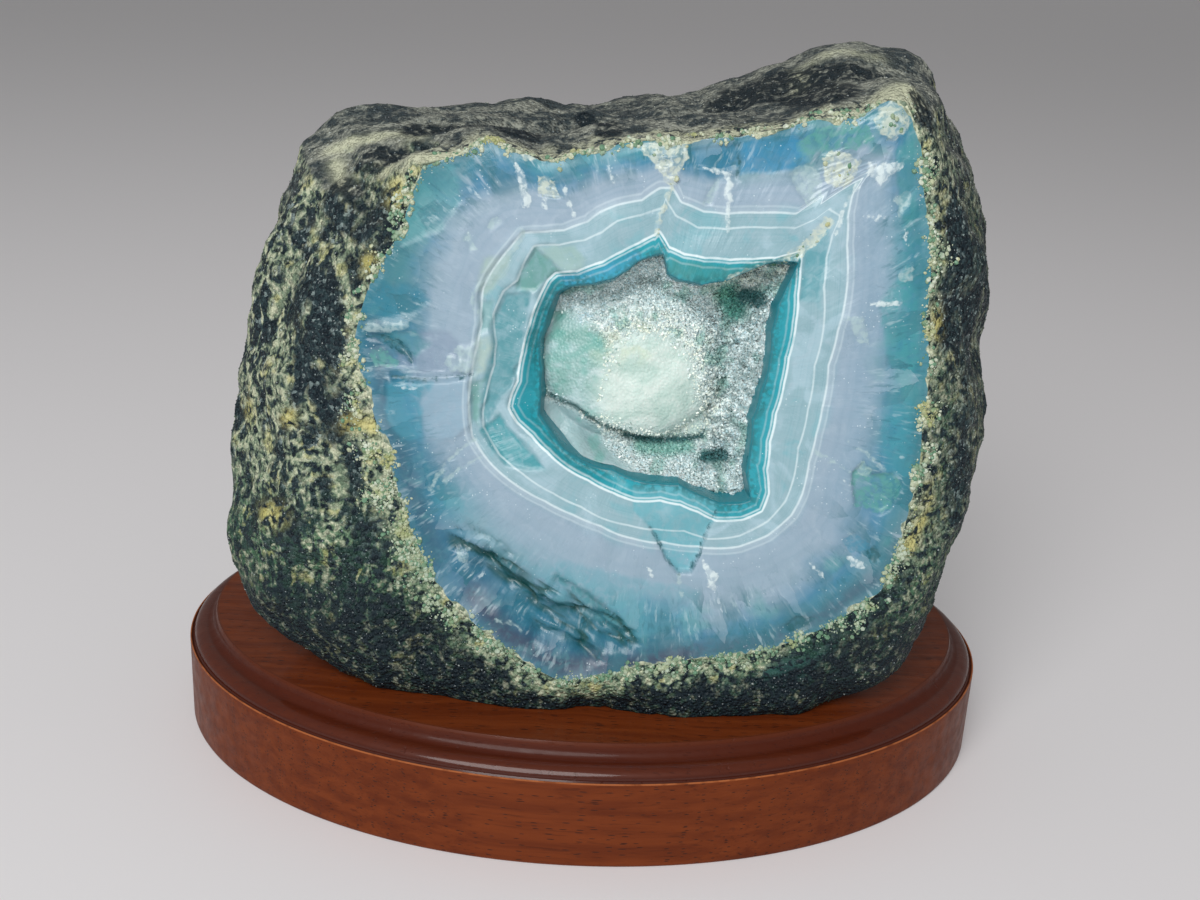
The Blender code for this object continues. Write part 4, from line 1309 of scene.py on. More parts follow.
@dataclass(frozen=True)
class Rind:
    """The granular rind: blue-black grains with cream veins, ochre and olive patches, and a streaky top."""

    name: str = "rind"
    black: Colour = (0.005, 0.013, 0.019)
    slate: Colour = (0.020, 0.040, 0.046)
    grey: Colour = (0.24, 0.31, 0.30)
    olive: Colour = (0.055, 0.15, 0.075)
    moss: Colour = (0.020, 0.060, 0.040)
    cream: Colour = (0.60, 0.62, 0.44)
    ochre: Colour = (0.55, 0.50, 0.17)
    tan: Colour = (0.22, 0.285, 0.19)
    drab: Colour = (0.31, 0.325, 0.275)
    ash: Colour = (0.035, 0.05, 0.056)
    soot: Colour = (0.03, 0.04, 0.045)
    turquoise: Colour = (0.05, 0.25, 0.24)
    glint: Colour = (0.45, 0.52, 0.52)
    pale_grain: Colour = (0.50, 0.55, 0.53)

    def lay(self, coat: Coat, tone: Any, other: Any) -> None:
        """Lay the rind's colour.

        Args:
            coat: The material in the making.
            tone: A number for each grain, from 0 to 1.
            other: Another such number.
        """
        cream, dark, ochre = coat.parts("marks")
        olive, top, turquoise = coat.parts("coats")
        beside = coat.attribute("beside")
        broad = coat.noise(coat.scaled(coat.at, (1.0, 1.0, 0.55)), 8.0, 5.0, 1.2)
        small = coat.noise(coat.at, 1.6, 4.0, 0.5)
        veins = coat.noise(coat.scaled(coat.shifted(coat.at, (0, 0, 90)), (1.0, 1.0, 0.6)), 7.0, 4.0, 0.8)
        across, _, height = coat.split(coat.at)
        low = coat.step(height, 80.0, 45.0)

        # Blue-black grains with some grey ones
        coat.colour = coat.mix(coat.step(tone, 0.3, 0.9), self.black, self.slate)
        coat.cover(self.grey, coat.step(other, 0.72, 0.98), coat.step(small, 0.42, 0.6), 0.8)
        coat.cover(self.turquoise, turquoise, coat.step(small, 0.4, 0.6), 0.8)

        # Pale and mossy patches: cream above, green below, fewer on the right flank
        coat.cover(self.moss, low, coat.step(small, 0.4, 0.6), 0.8)
        vein = coat.step(coat.math("ABSOLUTE", coat.minus(veins, 0.5)), 0.05, 0.015)
        patch = coat.either(coat.step(broad, 0.48, 0.55, 0.0, 0.95), coat.times(vein, 0.9),
                            coat.step(cream, 0.15, 0.5), beside, coat.times(olive, 0.9))
        patch = coat.without(patch, coat.times(coat.step(dark, 0.25, 0.6), coat.step(broad, 0.72, 0.5)))
        speckled = coat.either(coat.step(small, 0.38, 0.52), coat.times(coat.step(cream, 0.2, 0.6), 0.75))
        patch = coat.times(patch, speckled, coat.step(other, 0.0, 0.4, 0.5, 1.0),
                           coat.step(across, 54.0, 70.0, 1.0, 0.5))
        mossy = coat.either(olive, coat.step(low, 0.0, 1.0, 0.2, 0.95))
        green = coat.times(mossy, coat.step(coat.noise(coat.at, 1.1, 2.0), 0.62, 0.42),
                           coat.step(beside, 0.0, 1.0, 1.0, 0.6))
        pale = coat.mix(coat.step(small, 0.45, 0.65), self.tan, self.cream)
        coat.cover(coat.mix(green, pale, self.olive), patch)
        rusty = coat.times(patch, coat.step(coat.noise(coat.at, 4.0, 2.0), 0.57, 0.67), 0.45)
        coat.cover(self.ochre, coat.either(coat.times(ochre, coat.step(small, 0.36, 0.55), 0.8), rusty))

        # Painted shade: the underside darkened towards the base, away from the face's edge
        coat.cover(self.black, coat.step(height, 56.0, 37.0), coat.step(beside, 0.9, 0.1),
                   coat.step(small, 0.66, 0.46, 0.65, 0.97))

        # The streaky top
        streak = coat.noise(coat.scaled(coat.at, (0.4, 0.7, 1.0)), 4.0, 5.0, 0.6)
        streak = coat.plus(streak, coat.swing(small, 0.7), coat.swing(other, 0.12))
        above = coat.mix(coat.step(streak, 0.36, 0.68), self.ash, self.drab)
        above = coat.mix(coat.times(coat.step(tone, 0.6, 0.1), 0.5), above, self.soot)
        above = coat.mix(coat.times(beside, speckled, 0.9), above, self.cream)
        above = coat.mix(coat.times(cream, 0.8), above, self.cream)
        basin = coat.times(coat.step(dark, 0.3, 0.65), coat.step(small, 0.75, 0.5), 0.95)
        coat.cover(coat.mix(basin, above, self.black), top, coat.step(small, 0.2, 0.5, 0.7, 1.0))

    def material(self) -> bpy.types.Material:
        """Build the finish of the stone's rind.

        Returns:
            The material.
        """
        coat = Coat(self.name)
        grains = GRAINS.use(coat, coat.at, (1.4, 1.4, 1.4))
        self.lay(coat, grains["Tone"], grains["Other"])
        coat.cover(self.glint, FLECKS.use(coat, coat.at, (1.9, 1.9, 1.9), Share=0.06)["Mask"], 0.5)
        height = coat.plus(coat.times(grains["Height"], 0.6), coat.noise(coat.at, 2.0, 4.0))
        rough = coat.step(grains["Other"], 0.0, 1.0, 0.35, 0.8)
        return coat.finish({"Specular IOR Level": 0.25, "Roughness": rough, "Normal": coat.bump(height, 0.6)})

    def grain_material(self) -> bpy.types.Material:
        """Build the finish of the loose grains, which takes a tone from each grain.

        Returns:
            The material.
        """
        coat = Coat(f"{self.name} grains")
        luck = coat.attribute("chance")
        other = coat.math("FRACT", coat.times(luck, 17.0))
        self.lay(coat, luck, coat.step(other, 0.0, 1.0, 0.35, 1.0))
        coat.cover(self.pale_grain, coat.step(other, 0.95, 0.98, 0.0, 0.6))
        return coat.finish({"Specular IOR Level": 0.35, "Roughness": coat.step(luck, 0.0, 1.0, 0.22, 0.7)})


@dataclass(frozen=True)
class CrustGrains:
    """The pale granules between the banded face and the rind."""

    name: str = "crust grains"
    cream: Colour = (0.44, 0.48, 0.32)
    white: Colour = (0.57, 0.63, 0.52)
    yellow: Colour = (0.42, 0.41, 0.16)
    green: Colour = (0.13, 0.26, 0.16)
    roughness: float = 0.4

    def material(self) -> bpy.types.Material:
        """Build the finish.

        Returns:
            The material.
        """
        coat = Coat(self.name)
        patch = coat.noise(coat.at, 6.0, 2.0)
        low = coat.step(coat.split(coat.at)[2], 75.0, 50.0)
        coat.colour = coat.ramp(coat.attribute("chance"), (
            (0.0, self.green), (0.25, self.green), (0.45, self.cream), (0.8, self.white), (1.0, self.cream)))
        coat.cover(self.yellow, coat.step(patch, 0.55, 0.68, 0.0, 0.7))
        coat.cover(self.green, coat.either(coat.step(patch, 0.46, 0.34, 0.0, 0.7), coat.times(low, 0.35)))
        return coat.finish({"Roughness": self.roughness})


@dataclass(frozen=True)
class DruseBed:
    """The bed of quartz in the hollow: milky on the big lump, sugary and grey-green around it."""

    name: str = "druse bed"
    milky: Colour = (0.66, 0.76, 0.71)
    cloudy: Colour = (0.46, 0.62, 0.56)
    glassy: Colour = (0.22, 0.42, 0.38)
    grey: Colour = (0.50, 0.65, 0.66)
    bright: Colour = (0.74, 0.85, 0.83)
    smooth: Colour = (0.26, 0.41, 0.43)
    warm: Colour = (0.64, 0.72, 0.50)
    green: Colour = (0.12, 0.40, 0.34)
    # The colour of painted shade
    dark: Colour = (0.04, 0.14, 0.14)
    glow: float = 0.35
    glow_radius: Colour = (0.8, 1.0, 1.0)
    glow_depth: float = 2.0

    def material(self) -> bpy.types.Material:
        """Build the finish.

        Returns:
            The material.
        """
        coat = Coat(self.name)
        milk, glass, dull = coat.parts("quartz")
        shade, green, near = coat.parts("shades")
        grains = GRAINS.use(coat, coat.at, (1.6, 1.6, 1.6))
        cloud = coat.noise(coat.at, 5.0, 4.0, 0.7)
        coat.colour = coat.mix(grains["Tone"], self.grey, self.bright)
        coat.cover(coat.mix(cloud, self.smooth, self.grey), dull)
        coat.cover(coat.mix(coat.step(cloud, 0.3, 0.7), self.glassy, self.grey), glass)
        coat.cover(coat.mix(coat.step(cloud, 0.7, 0.3), self.milky, self.cloudy), milk)
        coat.cover(self.warm, coat.step(coat.noise(coat.at, 4.0, 3.0, shift=(9, 0, 0)), 0.50, 0.66), near,
                   coat.step(coat.split(coat.at)[2], 90.0, 96.0, 0.0, 0.5))
        coat.cover(self.green, green)
        # Painted shade where the bed lies in shadow
        coat.cover(self.dark, shade)
        sugary = coat.without(coat.step(milk, 0.0, 1.0, 1.0, 0.15), coat.times(dull, 0.9),
                              coat.times(glass, 0.8))
        fine = coat.times(coat.noise(coat.at, 1.2, 3.0), 0.35)
        height = coat.plus(coat.times(grains["Height"], sugary), fine)
        return coat.finish({
            "Roughness": coat.step(milk, 0.0, 1.0, 0.35, 0.42), "Normal": coat.bump(height, 0.5),
            "Subsurface Weight": self.glow, "Subsurface Radius": self.glow_radius,
            "Subsurface Scale": self.glow_depth * MM})


@dataclass(frozen=True)
class SugaryQuartz:
    """Small frosted crystals."""

    name: str = "sugary quartz"
    grey: Colour = (0.50, 0.68, 0.73)
    pale: Colour = (0.90, 0.97, 0.94)
    cream: Colour = (0.90, 0.94, 0.78)
    green: Colour = (0.07, 0.38, 0.27)
    # The colour of painted shade
    dark: Colour = (0.02, 0.13, 0.14)
    roughness: float = 0.16

    def material(self) -> bpy.types.Material:
        """Build the finish.

        Returns:
            The material.
        """
        coat = Coat(self.name)
        luck = coat.attribute("chance")
        shade, green, near = coat.parts("shades")
        tone = coat.math("ADD", luck, coat.times(near, 0.5), clamp=True)
        coat.colour = coat.mix(tone, self.grey, self.pale)
        coat.cover(self.cream, near, luck, 0.8)
        coat.cover(self.green, green, 0.85)
        # Painted shade on crystals where the bed lies in shadow
        coat.cover(self.dark, shade, 0.9)
        return coat.finish({"Roughness": self.roughness})


@dataclass(frozen=True)
class ClearQuartz:
    """Clear crystals, faintly green."""

    name: str = "clear quartz"
    colour: Colour = (0.86, 0.97, 0.94)
    refraction: float = 1.54
    roughness: float = 0.06

    def material(self) -> bpy.types.Material:
        """Build the finish.

        Returns:
            The material.
        """
        coat = Coat(self.name)
        coat.colour = self.colour
        return coat.finish({"Roughness": self.roughness, "IOR": self.refraction, "Transmission Weight": 1.0})


@dataclass(frozen=True)
class VarnishedWood:
    """Red-brown wood with short dark pores, glossy on its moulding and satin on its side."""

    name: str = "varnished wood"
    brown: Colour = (0.10, 0.018, 0.004)
    red: Colour = (0.165, 0.034, 0.007)
    dark: Colour = (0.028, 0.006, 0.003)
    orange: Colour = (0.36, 0.11, 0.035)
    polished: Colour = (0.060, 0.010, 0.004)
    pore: Colour = (0.018, 0.006, 0.004)
    side_height: float = 18.5

    def material(self) -> bpy.types.Material:
        """Build the finish.

        Returns:
            The material.
        """
        coat = Coat(self.name)
        inset = coat.attribute("inset")
        worn = coat.noise(coat.at, 3.0, 4.0)

        # Grain, fibres and pores along the board
        waves = coat.scaled(coat.joined(0.0, coat.noise(coat.at, 30.0), 0.0), (0, 8.0, 0))
        warped = coat.shifted(coat.at, waves)
        grain = coat.noise(coat.scaled(warped, (0.04, 1.0, 1.0)), 2.2, 4.0, 0.4)
        fibre = coat.noise(coat.scaled(warped, (0.06, 1.0, 1.0)), 0.5, 3.0)
        pores = FLECKS.use(coat, coat.at, (0.35, 2.6, 2.6), Share=0.30)["Mask"]
        coat.colour = coat.mix(coat.step(grain, 0.22, 0.78), self.brown, self.red)
        coat.cover(self.dark, coat.step(fibre, 0.55, 0.75, 0.0, 0.4))
        coat.cover(self.pore, pores, 0.75)

        # Light orange lines along the side's top edge and the crest, painted shade in the cove and the quirk,
        # and the polished moulding
        top_edge = coat.math("ABSOLUTE", coat.minus(coat.split(coat.at)[2], self.side_height))
        coat.cover(self.orange, coat.step(top_edge, 0.35, 0.12), coat.step(inset, 0.5, 0.2),
                   coat.step(worn, 0.35, 0.55, 0.35, 1.0))
        # Painted shade in the cove
        coat.cover(self.dark, coat.step(inset, 3.4, 3.8), coat.step(inset, 5.7, 5.4), 0.45)
        coat.cover(self.orange, coat.step(inset, 5.5, 5.8), coat.step(inset, 6.5, 6.1), 0.3)
        # Painted shade in the quirk
        coat.cover(self.dark, coat.step(inset, 0.25, 0.5), coat.step(inset, 1.3, 0.95), 0.75)
        coat.cover(self.polished, coat.step(inset, 0.3, 0.8), coat.step(inset, 6.6, 6.0), 0.8)

        # Dents: pores, nicks in the moulding and a slight wave
        moulding = coat.times(coat.step(inset, 0.3, 0.8), coat.step(inset, 4.2, 3.4, 0.3, 1.0))
        nicks = coat.times(coat.step(coat.noise(coat.at, 1.6, 3.0, shift=(5, 0, 0)), 0.66, 0.72), moulding)
        dents = coat.minus(coat.times(fibre, 0.4), coat.times(pores, 0.6))
        dents = coat.minus(dents, coat.times(nicks, 2.5))
        dents = coat.plus(dents, coat.times(coat.noise(coat.at, 9.0, 2.0), 4.0))
        return coat.finish({
            "Roughness": coat.step(worn, 0.3, 0.7, 0.36, 0.5), "Specular IOR Level": 0.12,
            "Coat Weight": coat.step(moulding, 0.0, 1.0, 0.03, 0.42), "Coat Roughness": 0.09,
            "Normal": coat.bump(dents, 0.12, 0.6)})


@dataclass(frozen=True)
class PaleFloor:
    """A plain pale floor."""

    name: str = "pale floor"
    colour: Colour = (0.84, 0.82, 0.83)
    roughness: float = 0.6

    def material(self) -> bpy.types.Material:
        """Build the finish.

        Returns:
            The material.
        """
        coat = Coat(self.name)
        coat.colour = self.colour
        return coat.finish({"Roughness": self.roughness})


# Pieces


@dataclass
class Agate:
    """The stone: one skin over its hollow, banded face, shoulder and back.

    The hollow is given as a share of the rim's radius and a depth for each row, from its floor outward.
    """

    columns: int = 512
    floor_depth: float = 15.3
    hollow: tuple[tuple[float, float], ...] = (
        (0.15, 15.2), (0.45, 14.9), (0.72, 14.1), (0.86, 12.6), (0.92, 10.8), (0.95, 8.5), (0.962, 6.4),
        (0.972, 4.4), (0.982, 2.5), (0.992, 1.0))
    band_rows: tuple[int, ...] = (14, 16, 8, 57)
    shoulder_rows: int = 44
    back_rows: int = 36
    easing: float = 3.0 / 8.0
    knob_size: float = 3.6
    knob_height: float = 0.22
    crest_height: float = 147.5
    crest_flattening: float = 0.4
    slope_depth: float = 2.4
    slope_turn: float = math.radians(195.0)
    slope_reach: float = math.radians(75.0)
    step_turn: float = math.radians(165.0)
    step_reach: float = math.radians(48.0)
    step_depth: float = 0.75
    wedge_depth: float = 1.1
    wedge_colour: Colour = (0.12, 0.40, 0.47)
    wedge_strength: float = 0.8
    cleft_depth: float = 1.3
    cleft_run: tuple[float, float] = (0.87, -0.49)
    farthest: float = 9.0
    wave_size: float = 11.0
    wave_height: float = 0.5
    turns: Array = field(init=False)

    def __post_init__(self) -> None:
        self.turns = np.linspace(0.0, 2 * math.pi, self.columns, endpoint=False)

    def bands(self) -> tuple[Array, Array]:
        """Lay out the rows of the face.

        Returns:
            The band of each row, from 0 at the rim to 4 at the rind, and its reach in every direction.
        """
        spans = [np.linspace(start, start + 1, rows, endpoint=start == 3)
                 for start, rows in enumerate(self.band_rows)]
        band = np.concatenate(spans)
        lines = np.array([FORM.radii(line, self.turns) for line in FACE_LINES])
        inner = np.minimum(band.astype(int), 3)
        share = (band - inner)[:, None]
        return band, lines[inner] * (1 - share) + lines[inner + 1] * share

    def gaps(self, reach: Array) -> list[Array]:
        """Measure how far outside each of the face's lines every point of the face is."""
        found = []
        for line in FACE_LINES:
            radius = FORM.radii(line, self.turns)
            slope = (np.roll(radius, -1) - np.roll(radius, 1)) / (2 * (self.turns[1] - self.turns[0]))
            found.append(square_gap(reach, radius, slope))
        return found

    def window(self, centre: float, reach: float) -> Array:
        """Choose the directions near one direction, softly."""
        away = np.abs((self.turns - centre + math.pi) % (2 * math.pi) - math.pi)
        return smoothstep(reach, reach * 0.6, away)

    def face_depth(self, flat: Array, band: Array, gaps: list[Array]) -> Array:
        """Work out how deep the face is broken.

        Args:
            flat: The rows of the face as x and z.
            band: The band of each row.
            gaps: How far outside each line every point is.

        Returns:
            The depth of every point.
        """
        points = flat.reshape(-1, 2)
        spatial = np.insert(points, 1, 0.0, axis=1)
        depth = self.wave_height * fractal(spatial, self.wave_size)
        crumbly = 0.45 * fractal(spatial, 1.3, 2, shift=33.0)
        for chip in CHIPS:
            within = smoothstep(0.25, -0.35, patch_gap(points, chip.outline))
            depth += within * (chip.depth + crumbly * (chip.paint is Paint.CREAM))
        for vein in VEINS:
            depth += vein.depth * smoothstep(vein.half_width + 0.3, 0.0, line_gap(points, vein.line))
        for outline, _, _, below in FACETS:
            depth += below * smoothstep(0.3, -0.4, patch_gap(points, outline))
        torn = 0.7 * fractal(spatial, 3.0, 3, shift=21.0)
        for scarp in SCARPS:
            side, along = line_side(points, scarp.line)
            side = side + torn
            ends = smoothstep(-0.1, 0.06, along) * smoothstep(1.1, 0.94, along)
            fall = smoothstep(0.0, scarp.drop_width, side)
            depth += scarp.depth * fall * smoothstep(scarp.return_width, scarp.drop_width, side) * ends
        wedge = smoothstep(0.2, -0.5, patch_gap(points, WEDGE))
        depth += self.wedge_depth * wedge * smoothstep(66, 60, points[:, 1])
        depth += self.cleft_depth * self.clefts(points)
        depth = depth.reshape(flat.shape[:2])
        wobble = 0.8 * fractal(spatial, 4.0, shift=9.0).reshape(depth.shape)
        broken_side = self.window(self.step_turn, self.step_reach)
        for gap in gaps[1:4]:
            depth += self.step_depth * smoothstep(0.5, -0.3, gap + wobble) * broken_side
        slope = smoothstep(1.0, 0.0, band)[:, None]
        depth += self.slope_depth * slope * self.window(self.slope_turn, self.slope_reach)
        return depth * smoothstep(-0.2, -2.0, gaps[4])

    def clefts(self, points: Array) -> Array:
        """How deeply the ground at the lower left is cleft at each place of the face, from 0 to 1."""
        near = np.zeros(len(points))
        for line, half_width in CLEFT_LINES:
            near = np.maximum(near, smoothstep(1.5 * half_width, 0.3 * half_width, line_gap(points, line)))
        chosen = near > 0
        along = points[chosen] @ np.array(self.cleft_run) / 5.0
        across = points[chosen] @ np.array((-self.cleft_run[1], self.cleft_run[0]))
        ridges = fractal(np.stack((along, across, np.full_like(along, 4.0)), axis=1), 2.3, 3)
        found = np.zeros(len(points))
        found[chosen] = near[chosen] * smoothstep(0.4, 0.0, np.abs(ridges + 0.1))
        return found

    def rings(self) -> tuple[Array, Array]:
        """Lay out the whole skin.

        Returns:
            The rings of points from the hollow's floor to the back, and the band of each row.
        """
        band, reach = self.bands()
        across, up = np.cos(self.turns), np.sin(self.turns)
        flat = np.stack((MIDDLE[0] + reach * across, MIDDLE[1] + reach * up), axis=-1)
        depth = self.face_depth(flat, band, self.gaps(reach))
        face = FORM.on_face(flat[..., 0], flat[..., 1], depth)
        rim = FORM.radii(RIM, self.turns)
        deepest = self.hollow[0][1]
        hollow = []
        for share, below in self.hollow:
            rough = fractal(np.stack((across * 12, up * 12, np.full_like(up, below)), axis=1), 3.0)
            radius = rim * (share + 0.012 * rough)
            x, z = MIDDLE[0] + radius * across, MIDDLE[1] + radius * up
            hollow.append(FORM.on_face(x, z, depth[0] + below * (deepest - depth[0]) / deepest))
        rows = [*hollow, *face, *self.shoulder(), *self.back()]
        hollow_band = -np.linspace(1.0, 0.1, len(self.hollow))
        outer_band = RIND_BAND + np.linspace(0, 2, self.shoulder_rows + self.back_rows + 1)[1:-1]
        return np.array(rows), np.concatenate((hollow_band, band, outer_band))

    def shoulder(self) -> list[Array]:
        """Lay out the rows from the face's edge back to where the stone is widest."""
        edge, widest = FORM.radii(FACE_EDGE, self.turns), FORM.radii(WIDEST, self.turns)
        middle_y = FORM.side_y + FORM.side_y_swing * np.sin(self.turns)
        rows = []
        for step in np.linspace(0, 1, self.shoulder_rows + 1)[1:]:
            bend = math.pi / 2 * step
            out = math.sin(bend) ** (2 / FORM.shoulder_roundness)
            back = 1 - math.cos(bend) ** (2 / FORM.shoulder_roundness)
            reach = edge + (widest - edge) * out
            x, z = MIDDLE[0] + reach * np.cos(self.turns), MIDDLE[1] + reach * np.sin(self.turns)
            front = FORM.on_face(x, z)[:, 1]
            points = np.stack((x, front + (middle_y - front) * back, z), axis=1)
            rows.append(self.rough(points, min(step / self.easing, 1.0)))
        return rows

    def back(self) -> list[Array]:
        """Lay out the rows from where the stone is widest to the middle of its back."""
        widest = FORM.radii(WIDEST, self.turns)
        middle_y = FORM.side_y + FORM.side_y_swing * np.sin(self.turns)
        mean = widest.mean()
        rows = []
        for step in np.linspace(0, 1, self.back_rows + 1)[1:-1]:
            bend = math.pi / 2 * (1 - (1 - step) ** FORM.back_crowding)
            out = math.cos(bend) ** (2 / FORM.back_roundness)
            back = math.sin(bend) ** (2 / FORM.back_roundness)
            reach = (mean + (widest - mean) * out) * out
            x = MIDDLE[0] + (HEART[0] - MIDDLE[0]) * back + reach * np.cos(self.turns)
            z = MIDDLE[1] + (HEART[2] - MIDDLE[1]) * back + reach * np.sin(self.turns)
            points = np.stack((x, middle_y + (FORM.back_y - middle_y) * back, z), axis=1)
            rows.append(self.rough(points, 1.0))
        return rows

    def rough(self, points: Array, share: float) -> Array:
        """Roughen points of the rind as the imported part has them, with smaller knobs besides."""
        moved = FORM.roughened(points, share, RIND_GROOVES)
        outward = points - HEART
        outward /= np.linalg.norm(outward, axis=1, keepdims=True)
        small = self.knob_height * share * fractal(points, self.knob_size, 3, shift=3.0)
        moved += small[:, None] * outward
        moved[:, 2] = np.maximum(moved[:, 2], FORM.rest_height)
        return moved

    def build(self) -> bpy.types.Object:
        """Model the stone.

        Returns:
            The finished piece.
        """
        rings, row_band = self.rings()
        floor = FORM.on_face(*MIDDLE, self.floor_depth)
        back = self.rough(np.array([(HEART[0], FORM.back_y, HEART[2])]), 1.0)[0]
        stone, order = wrapped("agate_stone", rings, floor, back)
        band = np.concatenate(([-1.0], np.repeat(row_band, self.columns), [6.0]))[order]
        rind = smoothstep(RIND_BAND, RIND_BAND + 0.1, band)
        displace(stone, rind, "VORONOI", 1.1, 0.3)
        displace(stone, rind, "CLOUDS", 0.8, 0.4)
        points = coordinates(stone)
        points[:, 2] = np.maximum(points[:, 2], FORM.rest_height)
        over = np.maximum(points[:, 2] - self.crest_height, 0.0)
        points[:, 2] -= self.crest_flattening * over
        place_points(stone, points)
        self.mark(stone, points, band)
        faces = stone.data.polygons
        corners = np.empty(len(stone.data.loops), np.int32)
        stone.data.loops.foreach_get("vertex_index", corners)
        starts = np.empty(len(faces), np.int32)
        faces.foreach_get("loop_start", starts)
        highest = np.maximum.reduceat(band[corners], starts)
        finished(stone, "agate", "agate", BandedFace().material(), Rind().material())
        faces.foreach_set("material_index", (highest > RIND_BAND + 1e-4).astype(np.int32))
        return stone

    def mark(self, stone: bpy.types.Object, points: Array, band: Array) -> None:
        """Store what the finishes read: bands, distances from the lines, chips and marks of the rind.

        Args:
            stone: The stone.
            points: Its points.
            band: The band of each point.
        """
        flat, height = FORM.flattened(points)
        across, up = (flat - MIDDLE).T
        reach, turn = np.hypot(across, up), np.arctan2(up, across)
        gaps = []
        for line in FACE_LINES:
            slope = (FORM.radii(line, turn + 0.01) - FORM.radii(line, turn - 0.01)) / 0.02
            gaps.append(square_gap(reach, FORM.radii(line, turn), slope))
        gaps[0] = np.where(band < 0, np.minimum(gaps[0], height), gaps[0])
        set_attribute(stone, "band", band)
        set_attribute(stone, "lines", np.stack(gaps[1:4], axis=1))
        set_attribute(stone, "ends", np.stack((gaps[0], gaps[4], height), axis=1))
        set_attribute(stone, "ray", np.stack((np.cos(turn), np.sin(turn), reach / 30.0), axis=1))
        near = (band > -1) & (band < RIND_BAND + 0.2)
        for paint in Paint:
            gap = np.full(len(points), self.farthest)
            for chip in CHIPS:
                if chip.paint is paint:
                    gap[near] = np.minimum(gap[near], patch_gap(flat[near], chip.outline))
            for vein in VEINS:
                if vein.paint is paint:
                    gap[near] = np.minimum(gap[near], line_gap(flat[near], vein.line) - vein.half_width)
            set_attribute(stone, paint.value, gap)
        cleft = np.zeros(len(points))
        cleft[near] = self.clefts(flat[near])
        set_attribute(stone, "cleft", cleft)
        set_attribute(stone, "tint", self.tints(flat))
        rind_marks(stone, points, normals(stone), band)

    def tints(self, flat: Array) -> Array:
        """Colour zones, facets and the wedge of the face.

        Args:
            flat: Every point as x and z on the face.

        Returns:
            A colour and its cover for each point.
        """
        rough = 0.5 * fractal(np.insert(flat, 1, 0.0, axis=1), 2.2, 3, shift=17.0)
        layers = [(shade, strength * np.exp(-((line_gap(flat, line) / half_width) ** 2)))
                  for line, half_width, shade, strength in ZONES]
        layers += [(shade, strength * smoothstep(0.6, -0.6, patch_gap(flat, outline) + rough))
                   for outline, shade, strength, _ in FACETS]
        on_wedge = smoothstep(0.3, -0.3, patch_gap(flat, WEDGE))
        layers.append((self.wedge_colour, self.wedge_strength * on_wedge))
        colour = np.zeros((len(flat), 3))
        cover = np.zeros(len(flat))
        for shade, share in layers:
            colour = colour * (1 - share[:, None]) + np.array(shade) * share[:, None]
            cover = 1 - (1 - cover) * (1 - share)
        return np.column_stack((colour / np.maximum(cover, 1e-6)[:, None], cover))


def rind_marks(thing: bpy.types.Object, points: Array, outward: Array, band: Array) -> None:
    """Store how strongly each mark of the rind shows at every point.

    Args:
        thing: The piece.
        points: Its points.
        outward: Its outward directions.
        band: The band of each point, above 4 on the rind.
    """
    found = {kind: np.zeros(len(points)) for kind in Mark}
    rough = 1.2 * fractal(points, 4.0, 3, shift=2.0)
    for mark in RIND_MARKS:
        share = np.exp(-(((line_gap(points, mark.line) + rough) / mark.half_width) ** 2))
        found[mark.kind] = np.maximum(found[mark.kind], share)
    top = smoothstep(0.35, 0.7, outward[:, 2]) * smoothstep(100.0, 120.0, points[:, 2])
    edge = [(x, FORM.on_face(x, z)[1], z) for x, z in (*FACE_EDGE, FACE_EDGE[0])]
    beside = smoothstep(7.5, 2.0, line_gap(points, edge) + 3.0 * fractal(points, 5.0, shift=5.0))
    set_attribute(thing, "beside", beside * (1 - 0.2 * top))
    marks = np.stack((found[Mark.CREAM], found[Mark.DARK], found[Mark.OCHRE]), axis=1)
    set_attribute(thing, "marks", marks)
    set_attribute(thing, "coats", np.stack((found[Mark.OLIVE], top, found[Mark.TURQUOISE]), axis=1))


@dataclass
class RindGrains:
    """Loose grains that stand out of the rind, fewer of them behind."""

    count: int = 20000
    share_behind: float = 0.25
    smallest: float = 0.2
    largest: float = 0.6
    seed: int = 11

    def build(self, stone: bpy.types.Object) -> bpy.types.Object:
        """Scatter the grains.

        Args:
            stone: The finished stone.

        Returns:
            The piece that holds all the grains.
        """
        chance = np.random.default_rng(self.seed)
        points = coordinates(stone)
        weights = smoothstep(RIND_BAND + 0.02, RIND_BAND + 0.08, stored(stone, "band"))
        weights = weights * np.where(points[:, 1] < 0, 1.0, self.share_behind)
        weights *= points[:, 2] > FORM.rest_height + 0.6
        spots = Spots.on(stone, self.count, weights, chance)
        width = self.smallest * (self.largest / self.smallest) ** chance.random(self.count)
        sizes = np.stack((width, width * chance.uniform(0.6, 1.1, self.count),
                          width * chance.uniform(0.5, 0.9, self.count)), axis=1)
        grains = scatter("rind_grains", small_point(4, 0.5, 0.45), spots, sizes, 0.6, chance)
        for name, numbers in (("marks", 3), ("coats", 3), ("beside", 1)):
            set_attribute(grains, name, copied(stored(stone, name, numbers), spots, grains))
        finished(grains, "agate", "agate", Rind().grain_material())
        return grains


